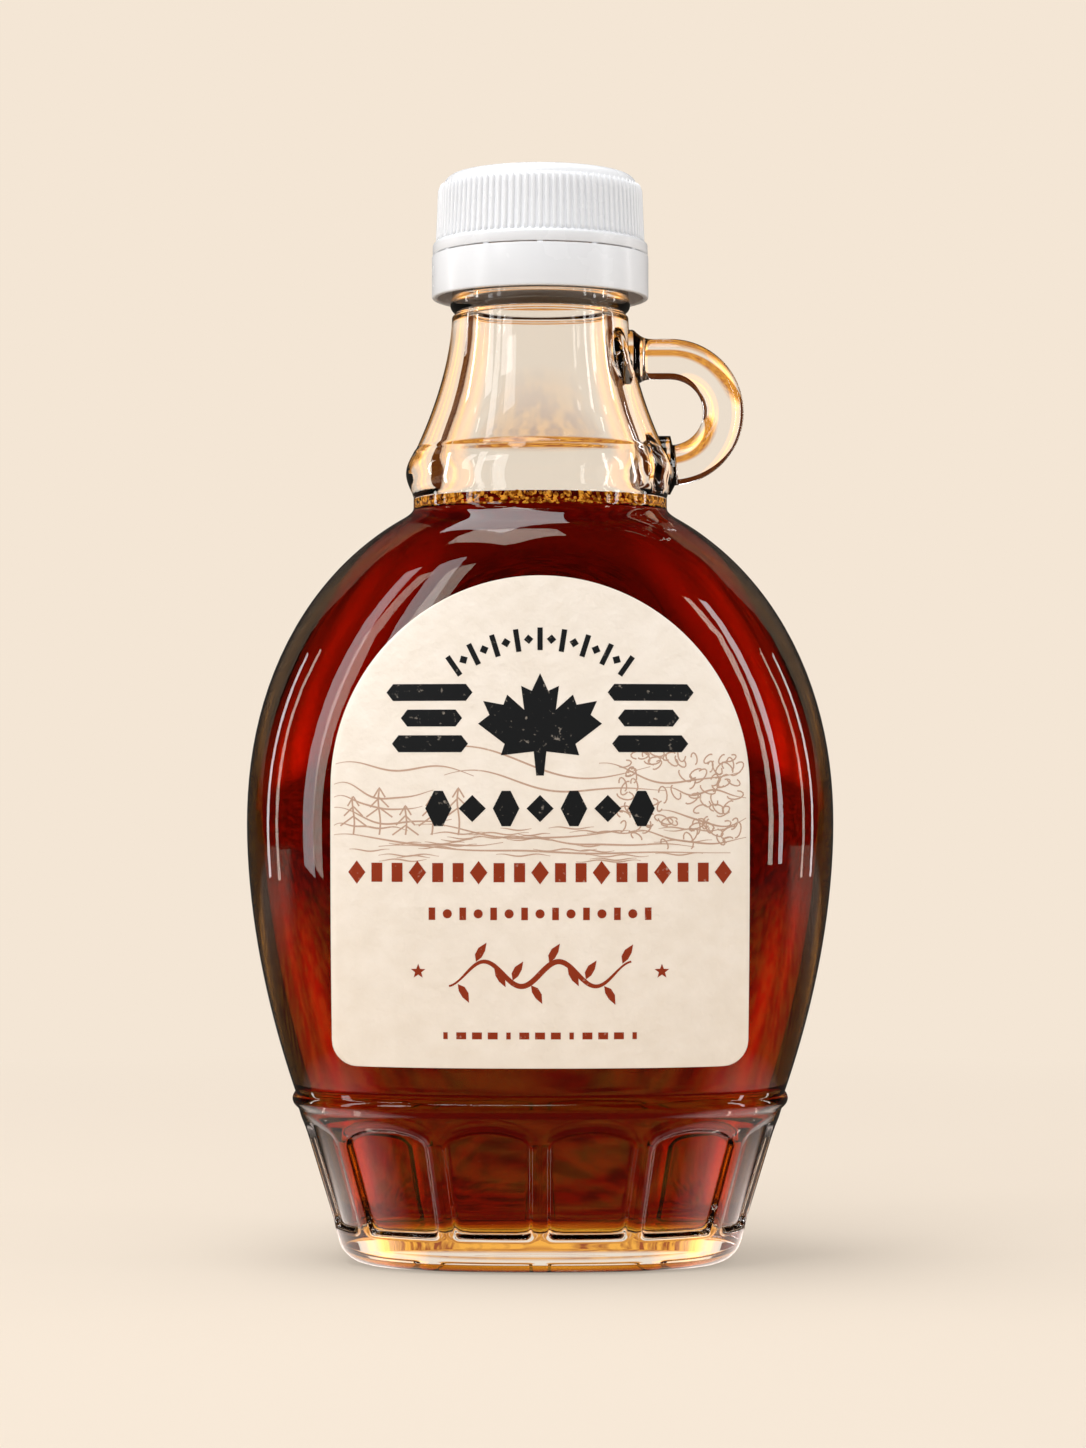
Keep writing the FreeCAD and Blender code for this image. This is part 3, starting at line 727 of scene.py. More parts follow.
def front_depth(x, level, grown):
    """How far the body's front reaches at a place across and at a level, grown all round."""
    across, deep, power = oval_sizes(level)
    share = np.clip(np.abs(x) / (across + grown), 0.0, 0.9999)
    return (deep + grown) * (1 - share**power) ** (1 / power)


def on_front(x, level, grown):
    """Points on the body's front."""
    return np.stack([x, -front_depth(x, level, grown), level], axis=-1)


def label_half_at(level):
    """Half width of the label at a level."""
    arch_level = LABEL_HIGH - LABEL_HALF
    if level > arch_level:
        return math.sqrt(max(LABEL_HALF**2 - (level - arch_level) ** 2, 0.0))
    under = LABEL_LOW + LABEL_CORNER - level
    if under > 0:
        return LABEL_HALF - LABEL_CORNER + math.sqrt(max(LABEL_CORNER**2 - under**2, 0.0))
    return LABEL_HALF


def label_levels():
    """Levels of the label's rows, closer together where its outline turns."""
    low = [LABEL_LOW + LABEL_CORNER * (1 - math.cos(t)) for t in np.linspace(0, math.pi / 2, 8)]
    arch_level = LABEL_HIGH - LABEL_HALF
    high = [arch_level + LABEL_HALF * math.sin(t) for t in np.linspace(0, math.pi / 2, 64)]
    high[-1] = arch_level + LABEL_HALF * math.sin(math.radians(89.4))
    return low + spread(low[-1], arch_level, 36)[:-1] + high


def sheet_piece(name, front, back, material):
    """A closed thin sheet between two grids of points with the same rows and columns."""
    rows, columns = front.shape[:2]
    points = np.concatenate([front.reshape(-1, 3), back.reshape(-1, 3)])
    offset = rows * columns
    faces = []
    for r in range(rows - 1):
        for c in range(columns - 1):
            a, b = r * columns + c, r * columns + c + 1
            d, e = (r + 1) * columns + c, (r + 1) * columns + c + 1
            faces.append((a, b, e, d))
            faces.append((offset + a, offset + d, offset + e, offset + b))
    rim = list(range(columns))
    rim += [r * columns + columns - 1 for r in range(1, rows)]
    rim += [(rows - 1) * columns + c for c in range(columns - 2, -1, -1)]
    rim += [r * columns for r in range(rows - 2, 0, -1)]
    for here, there in zip(rim, rim[1:] + rim[:1]):
        faces.append((here, offset + here, offset + there, there))
    return closed_piece(name, points, faces, material)


def make_label(material):
    """The arched paper label, wrapped on the front of the belly."""
    across = np.linspace(-1, 1, LABEL_COLUMNS)
    front, back = (
        np.array([
            on_front(across * label_half_at(level), np.full(LABEL_COLUMNS, level), grown)
            for level in label_levels()
        ])
        for grown in (PAPER_FRONT, PAPER_BACK)
    )
    piece = sheet_piece("label_paper", front, back, material)
    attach(piece, "root")
    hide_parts("label")


# -------------------- the label's print


# the arch of rays, the leaf and the bars beside it, and the row of blocks
RAYS, RAY_STEP, RAY_REACH, RAY_DROP = 17, 4.35, 20.6, 0.6
LONG_RAY, SHORT_RAY, SHORT_RAY_TIP = (3.1, 0.72), (1.3, 1.3), 0.65
LEAF_LEVEL, LEAF_SIZE = 74.2, 8.6
STACK = ((9.2, 21.0), (10.6, 19.0), (9.8, 20.2))  # from and to, across from the middle
STACK_TOP, STACK_STEP, STACK_THICK, STACK_TIP = 80.2, 3.5, 2.3, 0.9
BLOCKS, BLOCK_STEP, BLOCK_LEVEL = 7, 4.6, 64.4
BLOCK_SIZE, BLOCK_TIP, DIAMOND = (3.6, 4.8), 1.2, (2.6, 2.6)

# the rust rows, the sprig, its stars and the foot line
DASHES, DASH_STEP, DASH_LEVEL = 19, 2.78, 55.7
DOTS, DOT_STEP, DOT_LEVEL, DOT_RADIUS = 15, 2.1, 50.1, 0.62
SPRIG_HALF, SPRIG_LEVEL, SPRIG_SWING, SPRIG_WAVE = 12.4, 41.9, 1.7, 0.62
SPRIG_LEAVES, SPRIG_START, SPRIG_STEP = 10, 11.2, 2.49
SPRIG_LEAF = [(0, 0), (0.8, 0.62), (1.8, 0.66), (3.0, 0.05), (1.9, -0.34), (0.9, -0.36)]
STAR_PLACE, STAR_LEVEL, STAR_RADIUS, STAR_WAIST = 16.6, 42.2, 1.05, 0.42
TICKS, TICK_STEP, TICK_LEVEL, TICK_THICK = 13, 2.15, 33.4, 0.95

# the faint drawing: hills (from, to, level, height, bumps, seed), foliage, trees and ground
HILLS = (
    (-28.0, -9.0, 69.4, 0.9, 3, 3), (-28.2, -14.5, 66.6, 0.7, 4, 5),
    (-28.2, -12.0, 63.2, 0.8, 3, 8), (-28.2, -5.0, 60.0, 0.5, 5, 12),
    (12.0, 28.2, 60.4, 0.6, 4, 15), (16.0, 28.2, 63.0, 0.8, 3, 21),
    (-22.0, 26.0, 58.6, 0.35, 6, 33), (8.0, 27.5, 69.0, 0.9, 3, 41),
    (17.0, 28.2, 66.2, 0.7, 4, 44), (-16.0, 15.0, 70.6, 1.6, 2, 52),
    (-13.0, 17.0, 67.6, 1.1, 3, 57), (-17.0, 12.0, 61.2, 0.6, 4, 63),
    (-4.0, 21.0, 59.6, 0.5, 5, 71), (-28.2, -16.0, 64.9, 0.6, 5, 77),
    (-28.2, -18.0, 61.6, 0.5, 5, 83),
)
HILL_POINTS, HILL_THICK = 60, 0.26
CURLS, CURL_THICK, SKETCH_SEED = 84, 0.2, 7
TREES, FIRST_TREE, TREE_STEP, TREE_FOOT, TREE_TALL = 5, -25.5, 3.6, 60.8, 5.2
TRUNK_THICK, TWIG_THICK, TWIG_STEP = 0.24, 0.22, 1.35
GROUND_STROKES, GROUND_THICK = 30, 0.2
CUT_ACROSS, CUT_UP = 1.5, 3.0  # distances between the cuts that let ink follow the curve
INK_SUNK, SKETCH_PROUD = 0.03, 0.012


def bar(x, level, length, thick, turn=0.0, tip=0.0):
    """A bar round a middle, turned by an angle; its ends come to points of a length."""
    half, side = length / 2, thick / 2
    right = [(half - tip, -side), (half, 0), (half - tip, side)]
    left = [(-half + tip, side), (-half, 0)]
    return turned_shape([(-half + tip, -side)] + right + left, x, level, turn)


def spaced(count, step):
    """Numbers of a row's members and their places about its middle."""
    return [(k, (k - (count - 1) / 2) * step) for k in range(count)]


def turned_shape(outline, x, level, turn):
    c, n = math.cos(turn), math.sin(turn)
    return [(x + c * u - n * v, level + n * u + c * v) for u, v in outline]


def star(x, level, radius, points=5):
    outline = []
    for k in range(2 * points):
        reach = radius if k % 2 == 0 else radius * STAR_WAIST
        turn = math.pi * k / points
        outline.append((reach * math.cos(turn), reach * math.sin(turn)))
    return turned_shape(outline, x, level, math.pi / 2)


def dot(x, level, radius):
    around = np.linspace(0, TAU, 20, endpoint=False)
    return [(x + radius * math.cos(t), level + radius * math.sin(t)) for t in around]


def stroke(points, thick, taper=False):
    """A line of a thickness through points, thinner towards its ends where tapered."""
    points = np.array(points, dtype=float)
    way = np.gradient(points, axis=0)
    way /= np.linalg.norm(way, axis=1)[:, None] + 1e-9
    side = np.stack([-way[:, 1], way[:, 0]], axis=1)
    share = np.clip(np.linspace(0, 1, len(points)), 0.06, 0.94)
    full = np.sin(math.pi * share) ** 0.6 if taper else np.ones(len(points))
    half = thick / 2 * full
    return {"left": points + side * half[:, None], "right": points - side * half[:, None]}


def maple_leaf(x, level, size):
    """A bold leaf of three big lobes and two small ones, on a stalk."""
    right = [
        (0.00, 1.00), (0.13, 0.72), (0.30, 0.80), (0.25, 0.42), (0.52, 0.66), (0.58, 0.50),
        (0.90, 0.56), (0.80, 0.34), (0.98, 0.20), (0.56, -0.12), (0.62, -0.30), (0.10, -0.24),
        (0.06, -0.62),
    ]
    outline = right + [(-u, v) for u, v in right[::-1][:-1]]
    return [(x + size * u, level + size * v) for u, v in outline]


def hill(start, end, base, height, bumps, seed):
    """A line of low hills across the label."""
    share = np.linspace(0, 1, HILL_POINTS)
    lift = np.zeros(HILL_POINTS)
    random = np.random.default_rng(seed)
    for k in range(1, bumps + 1):
        waves, shift = k + random.uniform(0, 0.6), random.uniform(0, 2)
        lift += np.sin(share * math.pi * waves + shift) / k
    return [(start + (end - start) * u, base + height * v) for u, v in zip(share, lift)]


def black_shapes():
    """Rays in an arch, a bold leaf between stacked bars, and a row of blocks under it."""
    shapes = []
    middle = LABEL_HIGH - LABEL_HALF - RAY_DROP
    for k, lean in spaced(RAYS, RAY_STEP):
        turn = math.radians(90 + lean)
        x, level = RAY_REACH * math.cos(turn), middle + RAY_REACH * math.sin(turn)
        size, tip = (SHORT_RAY, SHORT_RAY_TIP) if k % 2 else (LONG_RAY, 0.0)
        shapes.append(bar(x, level, *size, turn, tip))
    shapes.append(maple_leaf(0.0, LEAF_LEVEL, LEAF_SIZE))
    for side in (-1, 1):
        for row, (start, end) in enumerate(STACK):
            x, level = side * (start + end) / 2, STACK_TOP - row * STACK_STEP
            shapes.append(bar(x, level, end - start, STACK_THICK, 0, STACK_TIP))
    for k, x in spaced(BLOCKS, BLOCK_STEP):
        block = (*DIAMOND, math.pi / 4) if k % 2 else (*BLOCK_SIZE, 0, BLOCK_TIP)
        shapes.append(bar(x, BLOCK_LEVEL, *block))
    return shapes


def rust_shapes():
    """Rows of diamonds, dashes and dots, a sprig between two stars, and a thin foot line."""
    shapes = []
    for k, x in spaced(DASHES, DASH_STEP):
        shapes.append(bar(x, DASH_LEVEL, *((1.5, 2.6) if k % 3 else (2.4, 3.2, 0, 1.2))))
    for k, x in spaced(DOTS, DOT_STEP):
        shapes.append(dot(x, DOT_LEVEL, DOT_RADIUS) if k % 2 else bar(x, DOT_LEVEL, 0.9, 1.7))
    swing = lambda x: SPRIG_LEVEL + SPRIG_SWING * math.sin(x * SPRIG_WAVE)
    wave = [(x, swing(x)) for x in np.linspace(-SPRIG_HALF, SPRIG_HALF, 90)]
    shapes.append(stroke(wave, 0.75, True))
    for k in range(SPRIG_LEAVES):
        x = -SPRIG_START + k * SPRIG_STEP
        up = 1 if k % 2 else -1
        shapes.append(turned_shape(SPRIG_LEAF, x, swing(x) + up * 0.35, up * 1.05))
    for side in (-1, 1):
        shapes.append(star(side * STAR_PLACE, STAR_LEVEL, STAR_RADIUS))
    for k, x in spaced(TICKS, TICK_STEP):
        shapes.append(bar(x, TICK_LEVEL, 1.35 if k % 4 else 0.6, TICK_THICK))
    return shapes


def sketch_shapes():
    """Faint drawn lines of hills, trees and leaves behind the black print."""
    shapes = [stroke(hill(*line), HILL_THICK, True) for line in HILLS]
    random = np.random.default_rng(SKETCH_SEED)
    for k in range(CURLS):
        x, level = random.uniform(11.0, 27.0), random.uniform(59.5, 72.5)
        turn, size = random.uniform(0, TAU), random.uniform(0.7, 1.2)
        curl = [(size * math.cos(t), 0.5 * size * math.sin(t)) for t in np.linspace(0, 4.4, 10)]
        shapes.append(stroke(turned_shape(curl, x, level, turn), CURL_THICK))
    for k in range(TREES):
        foot = FIRST_TREE + k * TREE_STEP
        tall = TREE_TALL + 1.4 * math.sin(k * 2.1)
        trunk = [
            (foot + 0.15 * math.sin(v), TREE_FOOT + v) for v in np.linspace(0, tall, 12)
        ]
        shapes.append(stroke(trunk, TRUNK_THICK))
        for step in range(3):
            top = TREE_FOOT + tall - step * TWIG_STEP
            reach = 0.8 + 0.5 * step
            twigs = [(foot + u * reach, top - abs(u) * 1.3) for u in np.linspace(-1, 1, 13)]
            shapes.append(stroke(twigs, TWIG_THICK))
    for k in range(GROUND_STROKES):
        start, level = random.uniform(-27.5, 17), random.uniform(57.2, 62.0)
        run = np.linspace(0, random.uniform(4, 9), 20)
        line = [(start + u, level + 0.15 * math.sin(u * 1.3 + k)) for u in run]
        shapes.append(stroke(line, GROUND_THICK, True))
    return shapes


def cut(work, place, way):
    """Cuts flat shapes along a plane so that they can bend there."""
    geometry = list(work.verts) + list(work.edges) + list(work.faces)
    bmesh.ops.bisect_plane(work, geom=geometry, plane_co=place, plane_no=way)


def printed(name, shapes, height, material):
    """Closed thin pieces of ink on the label, cut finely enough to follow its curve."""
    work = bmesh.new()
    corners = lambda outline: [work.verts.new((u, v, 0.0)) for u, v in outline]
    for outline in shapes:
        if isinstance(outline, dict):
            left, right = corners(outline["left"]), corners(outline["right"])
            for k in range(len(left) - 1):
                work.faces.new((right[k], right[k + 1], left[k + 1], left[k]))
        else:
            work.faces.new(corners(outline))
    bmesh.ops.triangulate(work, faces=work.faces)
    for k in range(-19, 20):
        cut(work, (k * CUT_ACROSS + 0.07, 0, 0), (1, 0, 0))
    for k in range(0, 24):
        cut(work, (0, LABEL_LOW + k * CUT_UP + 0.05, 0), (0, 1, 0))
    bmesh.ops.triangulate(work, faces=work.faces)
    work.verts.index_update()
    flat = np.array([vertex.co[:2] for vertex in work.verts])
    faces = [[vertex.index for vertex in face.verts] for face in work.faces]
    work.free()
    edges = dict.fromkeys(
        pair for face in faces for pair in zip(face, face[1:] + face[:1])
    )
    count = len(flat)
    sides = [(b, a, a + count, b + count) for a, b in edges if (b, a) not in edges]
    under = [[v + count for v in face[::-1]] for face in faces]
    front = on_front(flat[:, 0], flat[:, 1], height)
    back = on_front(flat[:, 0], flat[:, 1], PAPER_FRONT - INK_SUNK)
    points, faces = np.concatenate([front, back]), faces + under + sides
    piece = closed_piece(name, points, faces, material, smooth=False)
    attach(piece, "root")


def make_print():
    brown = ink("sketch_ink", (0.56, 0.37, 0.27), 0.25)
    black = ink("black_ink", (0.012, 0.013, 0.014), 0.1)
    rust = ink("rust_ink", (0.3, 0.035, 0.008), 0.12)
    printed("label_sketch", sketch_shapes(), PAPER_FRONT + SKETCH_PROUD, brown)
    printed("label_black_print", black_shapes(), INK_FRONT, black)
    printed("label_rust_print", rust_shapes(), INK_FRONT - 0.004, rust)


# -------------------- cap and tamper band


def turned_piece(name, profile, material, columns=192):
    """A closed ring or cap turned round the axis from a (radius, level) profile."""
    around = np.linspace(0, TAU, columns, endpoint=False)
    points, faces, rows = [], [], []
    for radius, level in profile:
        if radius < 1e-6:
            rows.append([len(points)])
            points.append((0.0, 0.0, level))
            continue
        rows.append(list(range(len(points), len(points) + columns)))
        points += [(radius * math.cos(a), radius * math.sin(a), level) for a in around]
    ring_closed = profile[0][0] > 1e-6
    pairs = list(zip(rows, rows[1:])) + ([(rows[-1], rows[0])] if ring_closed else [])
    for low, high in pairs:
        for c in range(columns):
            d = (c + 1) % columns
            if len(low) == 1:
                faces.append((low[0], high[c], high[d]))
            elif len(high) == 1:
                faces.append((low[c], low[d], high[0]))
            else:
                faces.append((low[c], low[d], high[d], high[c]))
    return closed_piece(name, points, faces, material)


def arc(centre, radius, start, end, steps):
    """Points of an arc in a profile, from one angle in degrees to another."""
    turns = np.radians(np.linspace(start, end, steps + 1))
    return [(centre[0] + radius * math.cos(t), centre[1] + radius * math.sin(t)) for t in turns]


CAP_RIBS = 92
RIB_LOW, RIB_HIGH = 145.2, 153.1
CAP_WALL_LOW, CAP_WALL_HIGH = 14.62, 14.28
RIB_ROWS, RIB_HALF_WIDTH, RIB_PROUD, RIB_HEAD = 12, 0.31, 0.32, 0.94


def cap_profile():
    """Half outline of the cap: crown, stepped shoulder, ribbed wall, flared foot and inside."""
    top, foot = cap_high[2] / MM, cap_low[2] / MM
    crown = [(0.0, top), (5.0, top - 0.03), (9.0, top - 0.14), (11.6, top - 0.3)]
    shoulder = arc((12.2, top - 2.05), 1.68, 82, 4, 9)
    step = [(13.93, 152.95), (14.2, 152.75), (CAP_WALL_HIGH, 152.45)]
    wall = [(CAP_WALL_LOW, RIB_LOW), (14.75, 145.05), (14.95, 144.9)]
    flare = arc((14.95, 144.45), 0.42, 80, 0, 5) + [(15.39, foot + 0.12), (15.32, foot)]
    inside = [(12.95, foot), (12.9, foot + 0.1), (12.9, 152.8), (12.5, 153.4), (0.0, 153.4)]
    return crown + shoulder + step + wall + flare + inside


def rib_seed(material):
    """One upright grip rib, rounded at its head, leaning with the cap's wall, on the axis."""
    around = np.linspace(0, TAU, RIB_ROWS, endpoint=False)
    lean = CAP_WALL_HIGH - CAP_WALL_LOW
    rings = []
    for share in np.linspace(0, 1, RIB_ROWS):
        level = RIB_LOW - 0.25 + (RIB_HIGH - RIB_LOW + 0.25) * share
        over = max(0.0, (share - RIB_HEAD) / (1 - RIB_HEAD))
        head = max(math.sqrt(max(0.0, 1 - over**2)), 0.15)
        x = lean * share + np.cos(around) * RIB_PROUD * head
        y = np.sin(around) * RIB_HALF_WIDTH * head
        rings.append(np.stack([x, y, np.full(RIB_ROWS, level)], axis=1))
    low, high = (0, 0, RIB_LOW - 0.3), (lean, 0, RIB_HIGH + 0.02)
    return ringed_piece("rib_seed", rings, low, high, material)


def make_cap(material):
    shell = turned_piece("cap_shell", cap_profile(), material)
    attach(shell, "root")
    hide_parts("cap")
    ribs = place_round("cap_grip_ribs", rib_seed(material), CAP_RIBS, CAP_WALL_LOW, material)
    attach(ribs, "root")


BRIDGES = 12
BAND_INNER, BAND_OUTER, BRIDGE_GAP = 14.65, 15.48, 0.22


def bridge_seed(material, top):
    """One small bridge between the band and the cap, on the axis."""
    corners = [(-0.22, -0.4), (0.22, -0.4), (0.22, 0.4), (-0.22, 0.4)]
    rings = []
    for lift, swell in ((-0.15, 1.15), (0.05, 1.0), (0.18, 1.0), (0.3, 1.15)):
        rings.append(np.array([(x * swell, y * swell, top + lift) for x, y in corners]))
    low, high = (0, 0, top - 0.15), (0, 0, top + 0.3)
    return ringed_piece("bridge_seed", rings, low, high, material)


def make_band(material):
    """The tamper band with its soft edges, and the bridges that tie it to the cap."""
    top, low = band_high[2] / MM - BRIDGE_GAP, band_low[2] / MM
    inner, outer, edge, small_edge = BAND_INNER, BAND_OUTER, 0.25, 0.12
    profile = arc((inner + edge, low + edge), edge, 180, 270, 4)
    profile += arc((outer - edge, low + edge), edge, 270, 360, 4)
    profile += arc((outer - small_edge, top - small_edge), small_edge, 0, 90, 3)
    profile += [(inner, top)]
    band = turned_piece("tamper_band_ring", profile, material)
    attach(band, "root")
    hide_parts("tamper_band")
    middle = (outer + inner) / 2 - 0.05
    bridge = bridge_seed(material, top)
    bridges = place_round("tamper_bridges", bridge, BRIDGES, middle, material)
    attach(bridges, "root")


# -------------------- materials


SYRUP_TONE, SYRUP_DENSITY = (0.937, 0.82, 0.25), 1000.0


def new_material(name, **settings):
    """A material with one Principled shader and that shader's plain settings."""
    material = bpy.data.materials.new(name)
    material.use_nodes = True
    bench = Bench(material.node_tree)
    bench.nodes.clear()
    plain = {label.replace("_", " "): value for label, value in settings.items()}
    shader = bench.node("ShaderNodeBsdfPrincipled", plain)
    out = bench.node("ShaderNodeOutputMaterial", {"Surface": shader.outputs["BSDF"]})
    return material, bench, shader, out


def clear_glass():
    """Clear glass with a trace of warmth and the faint waves of a moulded skin."""
    material, bench, shader, _ = new_material(
        "clear_jug_glass", Transmission_Weight=1.0, IOR=1.5, Roughness=0.0
    )
    tint = bench.mixed(bench.cloud(60, 2, 0.3, 0.7), (1.0, 0.997, 0.985), (0.997, 0.992, 0.975))
    waves = bench.bump(bench.noise(90, 1), 0.05, 0.0004)
    bench.fill(shader, {"Base Color": tint, "Normal": waves})
    return material


def maple_syrup():
    """Dark syrup: amber where it is thin, deep red where it is thick."""
    material, bench, shader, out = new_material(
        "maple_syrup",
        Transmission_Weight=1.0,
        IOR=1.46,
        Roughness=0.0,
        Specular_Tint=(0.15, 0.08, 0.04, 1),
    )
    tint = bench.mixed(bench.cloud(35, 2, 0.35, 0.65), (1.0, 0.97, 0.93), (1.0, 0.95, 0.9))
    bench.fill(shader, {"Base Color": tint})
    inputs = {"Color": colour(SYRUP_TONE), "Density": SYRUP_DENSITY}
    depth = bench.node("ShaderNodeVolumeAbsorption", inputs)
    bench.fill(out, {"Volume": depth.outputs["Volume"]})
    return material


def glowing_amber_foam():
    """Thin skins of syrup round tiny bubbles: gold, with a painted glow standing in for the light
    that comes through the syrup.
    """
    # painted glow: the foam's own gold tone is also its emission, though it is no lamp
    material, bench, shader, _ = new_material(
        "glowing_amber_foam", Roughness=0.2, Emission_Strength=0.45
    )
    tone = bench.mixed(bench.cloud(1600, 2, 0.42, 0.58), (0.25, 0.07, 0.004), (1.0, 0.5, 0.07))
    bench.fill(shader, {"Base Color": tone, "Emission Color": tone})
    return material


def label_stock():
    """Cream uncoated paper with mottled fibres and a soft felt surface."""
    material, bench, shader, _ = new_material(
        "cream_label_paper", Roughness=0.75, Specular_IOR_Level=0.3
    )
    tone = bench.mixed(bench.cloud(260, 6, 0.3, 0.7), (0.89, 0.8, 0.69), (0.945, 0.86, 0.76))
    felt = bench.bump(bench.noise(420, 5), 0.6, 0.0005)
    bench.fill(shader, {"Base Color": tone, "Normal": felt})
    return material


def ink(name, tone, worn):
    """Printing ink, a little worn so that the paper shows through in specks."""
    material, bench, shader, _ = new_material(name, Roughness=0.6, Specular_IOR_Level=0.15)
    specks = bench.cloud(1400, 4, 0.66 - worn * 0.2, 0.78 - worn * 0.2)
    paper = tuple(t + (c - t) * 0.35 for t, c in zip(tone, (0.86, 0.74, 0.61)))
    bench.fill(shader, {"Base Color": bench.mixed(specks, tone, paper)})
    return material


def white_plastic():
    """White moulded plastic with a fine grain and a slightly uneven sheen."""
    material, bench, shader, _ = new_material("white_cap_plastic")
    bench.fill(shader, {
        "Base Color": bench.mixed(
            bench.cloud(120, 3, 0.35, 0.65), (0.84, 0.85, 0.87), (0.87, 0.88, 0.9)
        ),
        "Normal": bench.bump(bench.noise(1500, 3), 0.05, 0.0001),
        "Roughness": bench.ranged(bench.noise(200, 3), 0.2, 0.32),
    })
    return material


# -------------------- studio


SWEEP_HALF_WIDTH, SWEEP_FRONT, SWEEP_BACK = 1.1, -0.2, 0.75
SWEEP_BEND, SWEEP_HEIGHT = 0.35, 1.0
PAPER_TONE = (0.905, 0.791, 0.665)
# the painted golden glows on the sweep, seen only through the glass
GLOW_TONE, GLOW_STRENGTH = (1.0, 0.44, 0.1), 4.0
GLOW_WAVES = 30.0
GLOW_RISE, GLOW_FALL = (0.2, 0.42), (0.56, 0.95)  # slants at which the glows come and go
# strength of the painted dark tone that the floor shows in reflections
DARK_MIRROR_STRENGTH = 0.06
# tone and strength of the painted reflection in the flutes' edges
SIDE_REFLECTION_TONE, SIDE_REFLECTION_STRENGTH = (1.0, 0.86, 0.78), 2.0
# the painted pool of light round the foot
POOL_EDGE, POOL_SHARE = (0.2, 0.42), 0.95
POOL_DARK, POOL_BRIGHT = (0.34, 0.06, 0.003), (1.0, 0.46, 0.05)
ROOM_TONE = (0.72, 0.715, 0.715)
ROOM_MIRRORED, ROOM_THROUGH = (0.015, 0.012, 0.01), (0.1, 0.022, 0.004)
LIT_MIDDLE = (0, 0, 0.08)
KICKER_TONE = (1.0, 0.97, 0.95)
SOFT_BOXES = (  # name, place, width and height, power, and tone where it isn't white
    ("left_box", (-0.5, -0.22, 0.22), (0.07, 0.55), 0.5),
    ("right_box", (0.52, -0.16, 0.2), (0.04, 0.45), 0.4),
    ("top_box", (-0.13, -0.06, 0.75), (0.5, 0.4), 3.1),
    ("front_left_box", (-0.42, -0.45, 0.42), (0.14, 0.24), 0.4),
    ("left_kicker", (-0.5, 0.16, 0.12), (0.03, 0.4), 0.25, KICKER_TONE),
    ("right_kicker", (0.5, 0.16, 0.12), (0.025, 0.4), 0.2, KICKER_TONE),
)


def sweep_mesh():
    """A floor that bends up into a backdrop behind the jug."""
    turns = np.linspace(0, math.pi / 2, 24)[1:]
    line = [(SWEEP_FRONT, 0.0), (SWEEP_BACK, 0.0)]
    line += [
        (SWEEP_BACK + SWEEP_BEND * math.sin(t), SWEEP_BEND * (1 - math.cos(t))) for t in turns
    ]
    line.append((SWEEP_BACK + SWEEP_BEND, SWEEP_HEIGHT))
    points = [(side * SWEEP_HALF_WIDTH, y, z) for y, z in line for side in (-1, 1)]
    faces = [(2 * k, 2 * k + 1, 2 * k + 3, 2 * k + 2) for k in range(len(line) - 1)]
    return plain_mesh("studio_sweep", points, faces)


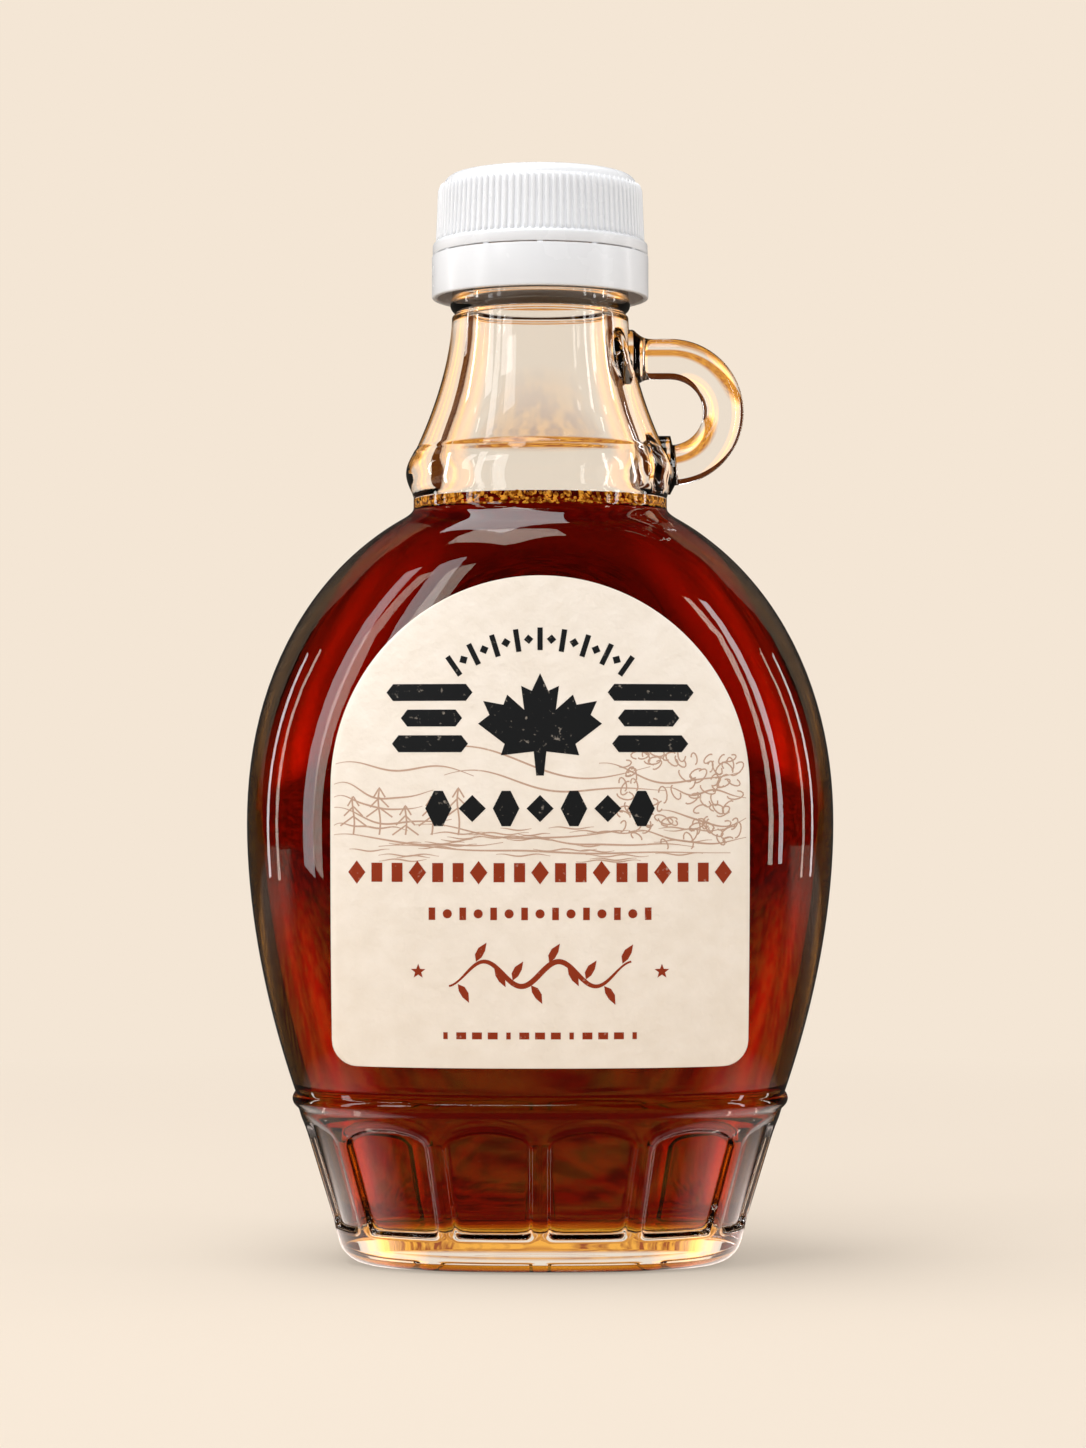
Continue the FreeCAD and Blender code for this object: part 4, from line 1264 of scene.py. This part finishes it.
def sweep_paper():
    """The sweep's paper: plain and lit to the eye, with painted glows, a painted pool of light
    and painted reflections in the glass.
    """
    material, bench, shader, out = new_material(
        "studio_paper",
        Base_Color=(*(v * 0.8 for v in PAPER_TONE), 1),
        Roughness=0.9,
        Specular_IOR_Level=0.0,
    )
    math_of, ranged = bench.math, bench.ranged
    path = bench.node("ShaderNodeLightPath").outputs
    through, glossy = path["Is Transmission Ray"], path["Is Glossy Ray"]
    place = bench.node("ShaderNodeTexCoord").outputs["Object"]
    distance = bench.node("ShaderNodeVectorMath", {0: place}, operation="LENGTH").outputs["Value"]
    apart = bench.node("ShaderNodeSeparateXYZ", {0: place}).outputs
    # away from the jug the sweep shows its own even tone to the eye and through the glass
    far = ranged(distance, 0.4, 1.0, 0.08, 0.36)
    behind = ranged(apart["Y"], 0.0, 1.0, -0.02, 0.06)
    seen_far = math_of("MULTIPLY", far, path["Is Camera Ray"])
    seen_through = math_of("MULTIPLY", behind, through)
    even = math_of("MAXIMUM", seen_far, seen_through)
    seen = bench.shader_mix(even, shader.outputs["BSDF"], bench.glow(PAPER_TONE))
    # two soft golden glows are painted light on the sweep behind the jug to its left and right,
    # with no lamp there; only the glass bends the view round to them
    sideways = math_of("ABSOLUTE", apart["X"])
    slant = math_of("DIVIDE", sideways, math_of("MAXIMUM", apart["Y"], 0.05))
    rise = ranged(slant, 0.0, 1.0, *GLOW_RISE)
    fall = ranged(slant, 1.0, 0.0, *GLOW_FALL)
    stripes = math_of("SINE", math_of("MULTIPLY", slant, GLOW_WAVES))
    stripes = ranged(stripes, 0.35, 1.0, -1.0, 1.0)
    fading = ranged(apart["Z"], 1.0, 0.3, 0.12, 0.26)
    glow = math_of("MULTIPLY", rise, fall, stripes, fading, seen_through)
    seen = bench.shader_mix(glow, seen, bench.glow(GLOW_TONE, GLOW_STRENGTH))
    # painted shade: the floor in front of the jug is painted dark in its mirror images, as a
    # black card would keep it
    bounced = ranged(path["Glossy Depth"], 0.0, 1.0)
    in_glass = math_of("MAXIMUM", glossy, through)
    hidden = math_of("MULTIPLY", in_glass, ranged(behind, 1.0, 0.0), bounced)
    reflected = math_of("MULTIPLY", glossy, ranged(through, 1.0, 0.0))
    hidden = math_of("MAXIMUM", hidden, reflected)
    seen = bench.shader_mix(hidden, seen, bench.glow(PAPER_TONE, DARK_MIRROR_STRENGTH))
    # painted reflection: the floor to both sides glows brightly in reflections, which the edges
    # of the flutes show
    along = math_of("MAXIMUM", math_of("ABSOLUTE", apart["Y"]), 0.005)
    aside = ranged(math_of("DIVIDE", sideways, along), 0.0, 1.0, 1.1, 2.0)
    close = ranged(distance, 1.0, 0.0, 0.05, 0.1)
    aside = math_of("MULTIPLY", aside, close, reflected)
    seen = bench.shader_mix(aside, seen, bench.glow(SIDE_REFLECTION_TONE, SIDE_REFLECTION_STRENGTH))
    # a golden pool of light is painted on the floor round the foot, in place of light that has
    # come through the syrup; it shows where the heel bends the view down to it
    pool = ranged(distance, 1.0, 0.0, *POOL_EDGE)
    low = ranged(apart["Z"], 1.0, 0.0, 0.1, 0.19)
    distant = ranged(apart["Y"], 0.0, 1.0, 0.5, 0.65)
    pool = math_of("MAXIMUM", pool, math_of("MULTIPLY", low, distant))
    pool = math_of("MULTIPLY", pool, through, POOL_SHARE)
    squeeze = bench.node("ShaderNodeMapping", {"Scale": (1.0, 2.5, 3.0), "Vector": place})
    ripple = ranged(bench.noise(32.0, 2, squeeze.outputs["Vector"]), 0.0, 1.0, 0.4, 0.6)
    # painted light: the pool glows between a dark and a bright gold
    gold = bench.glow(bench.mixed(ripple, POOL_DARK, POOL_BRIGHT))
    bench.fill(out, {"Surface": bench.shader_mix(pool, seen, gold)})
    return material


def studio_floor():
    sweep = add_piece("studio_sweep", sweep_mesh(), sweep_paper())


def soft_box(name, place, size, power, tone=(1, 1, 1)):
    """A rectangular soft light at a place, turned towards the jug's middle."""
    lamp = bpy.data.lights.new(name, "AREA")
    lamp.shape = "RECTANGLE"
    lamp.size, lamp.size_y = size
    lamp.energy = power
    lamp.color = tone
    box = bpy.data.objects.new(name, lamp)
    box.location = place
    way = Vector(LIT_MIDDLE) - Vector(place)
    box.rotation_euler = way.to_track_quat("-Z", "Y").to_euler()
    bpy.context.scene.collection.objects.link(box)


def studio_light():
    for box in SOFT_BOXES:
        soft_box(*box)
    world = bpy.data.worlds.new("studio_room")
    world.use_nodes = True
    bench = Bench(world.node_tree)
    path = bench.node("ShaderNodeLightPath").outputs
    through = path["Is Transmission Ray"]
    # the room lights matt surfaces evenly but stands dark in the glass
    in_glass = bench.math("MAXIMUM", path["Is Glossy Ray"], through)
    dark = bench.mixed(through, ROOM_MIRRORED, ROOM_THROUGH)
    # a straight look through the glass towards the front of the room finds it pale
    look = bench.node("ShaderNodeTexCoord").outputs["Generated"]
    forward = bench.node("ShaderNodeSeparateXYZ", {0: look}).outputs["Y"]
    ahead = bench.ranged(forward, 0.0, 1.0, -0.2, -0.6)
    straight = bench.ranged(path["Glossy Depth"], 1.0, 0.0)
    ahead = bench.math("MULTIPLY", ahead, straight, through)
    tone = bench.mixed(in_glass, ROOM_TONE, bench.mixed(ahead, dark, PAPER_TONE))
    bench.fill(bench.nodes["Background"], {"Color": tone, "Strength": 1.0})
    bpy.context.scene.world = world


def place_camera():
    """A long lens a little over half a metre in front of the jug, at the height of its belly."""
    lens = bpy.data.cameras.new("front_camera")
    lens.sensor_width = 36.0
    lens.lens = 86.3
    lens.clip_start = 0.01
    camera = bpy.data.objects.new("front_camera", lens)
    camera.location = (0.0004, -0.496, 0.0696)
    aim = Vector((0.0004, 0.0, 0.0762))
    camera.rotation_euler = (aim - camera.location).to_track_quat("-Z", "Y").to_euler()
    bpy.context.scene.collection.objects.link(camera)
    bpy.context.scene.camera = camera


# -------------------- making it all

glass = clear_glass()
plastic = white_plastic()
make_glass(glass)
make_syrup(maple_syrup())
make_bubbles(glowing_amber_foam())
make_label(label_stock())
make_print()
make_cap(plastic)
make_band(plastic)
studio_floor()
studio_light()
place_camera()
bpy.context.scene.view_settings.view_transform = "Standard"
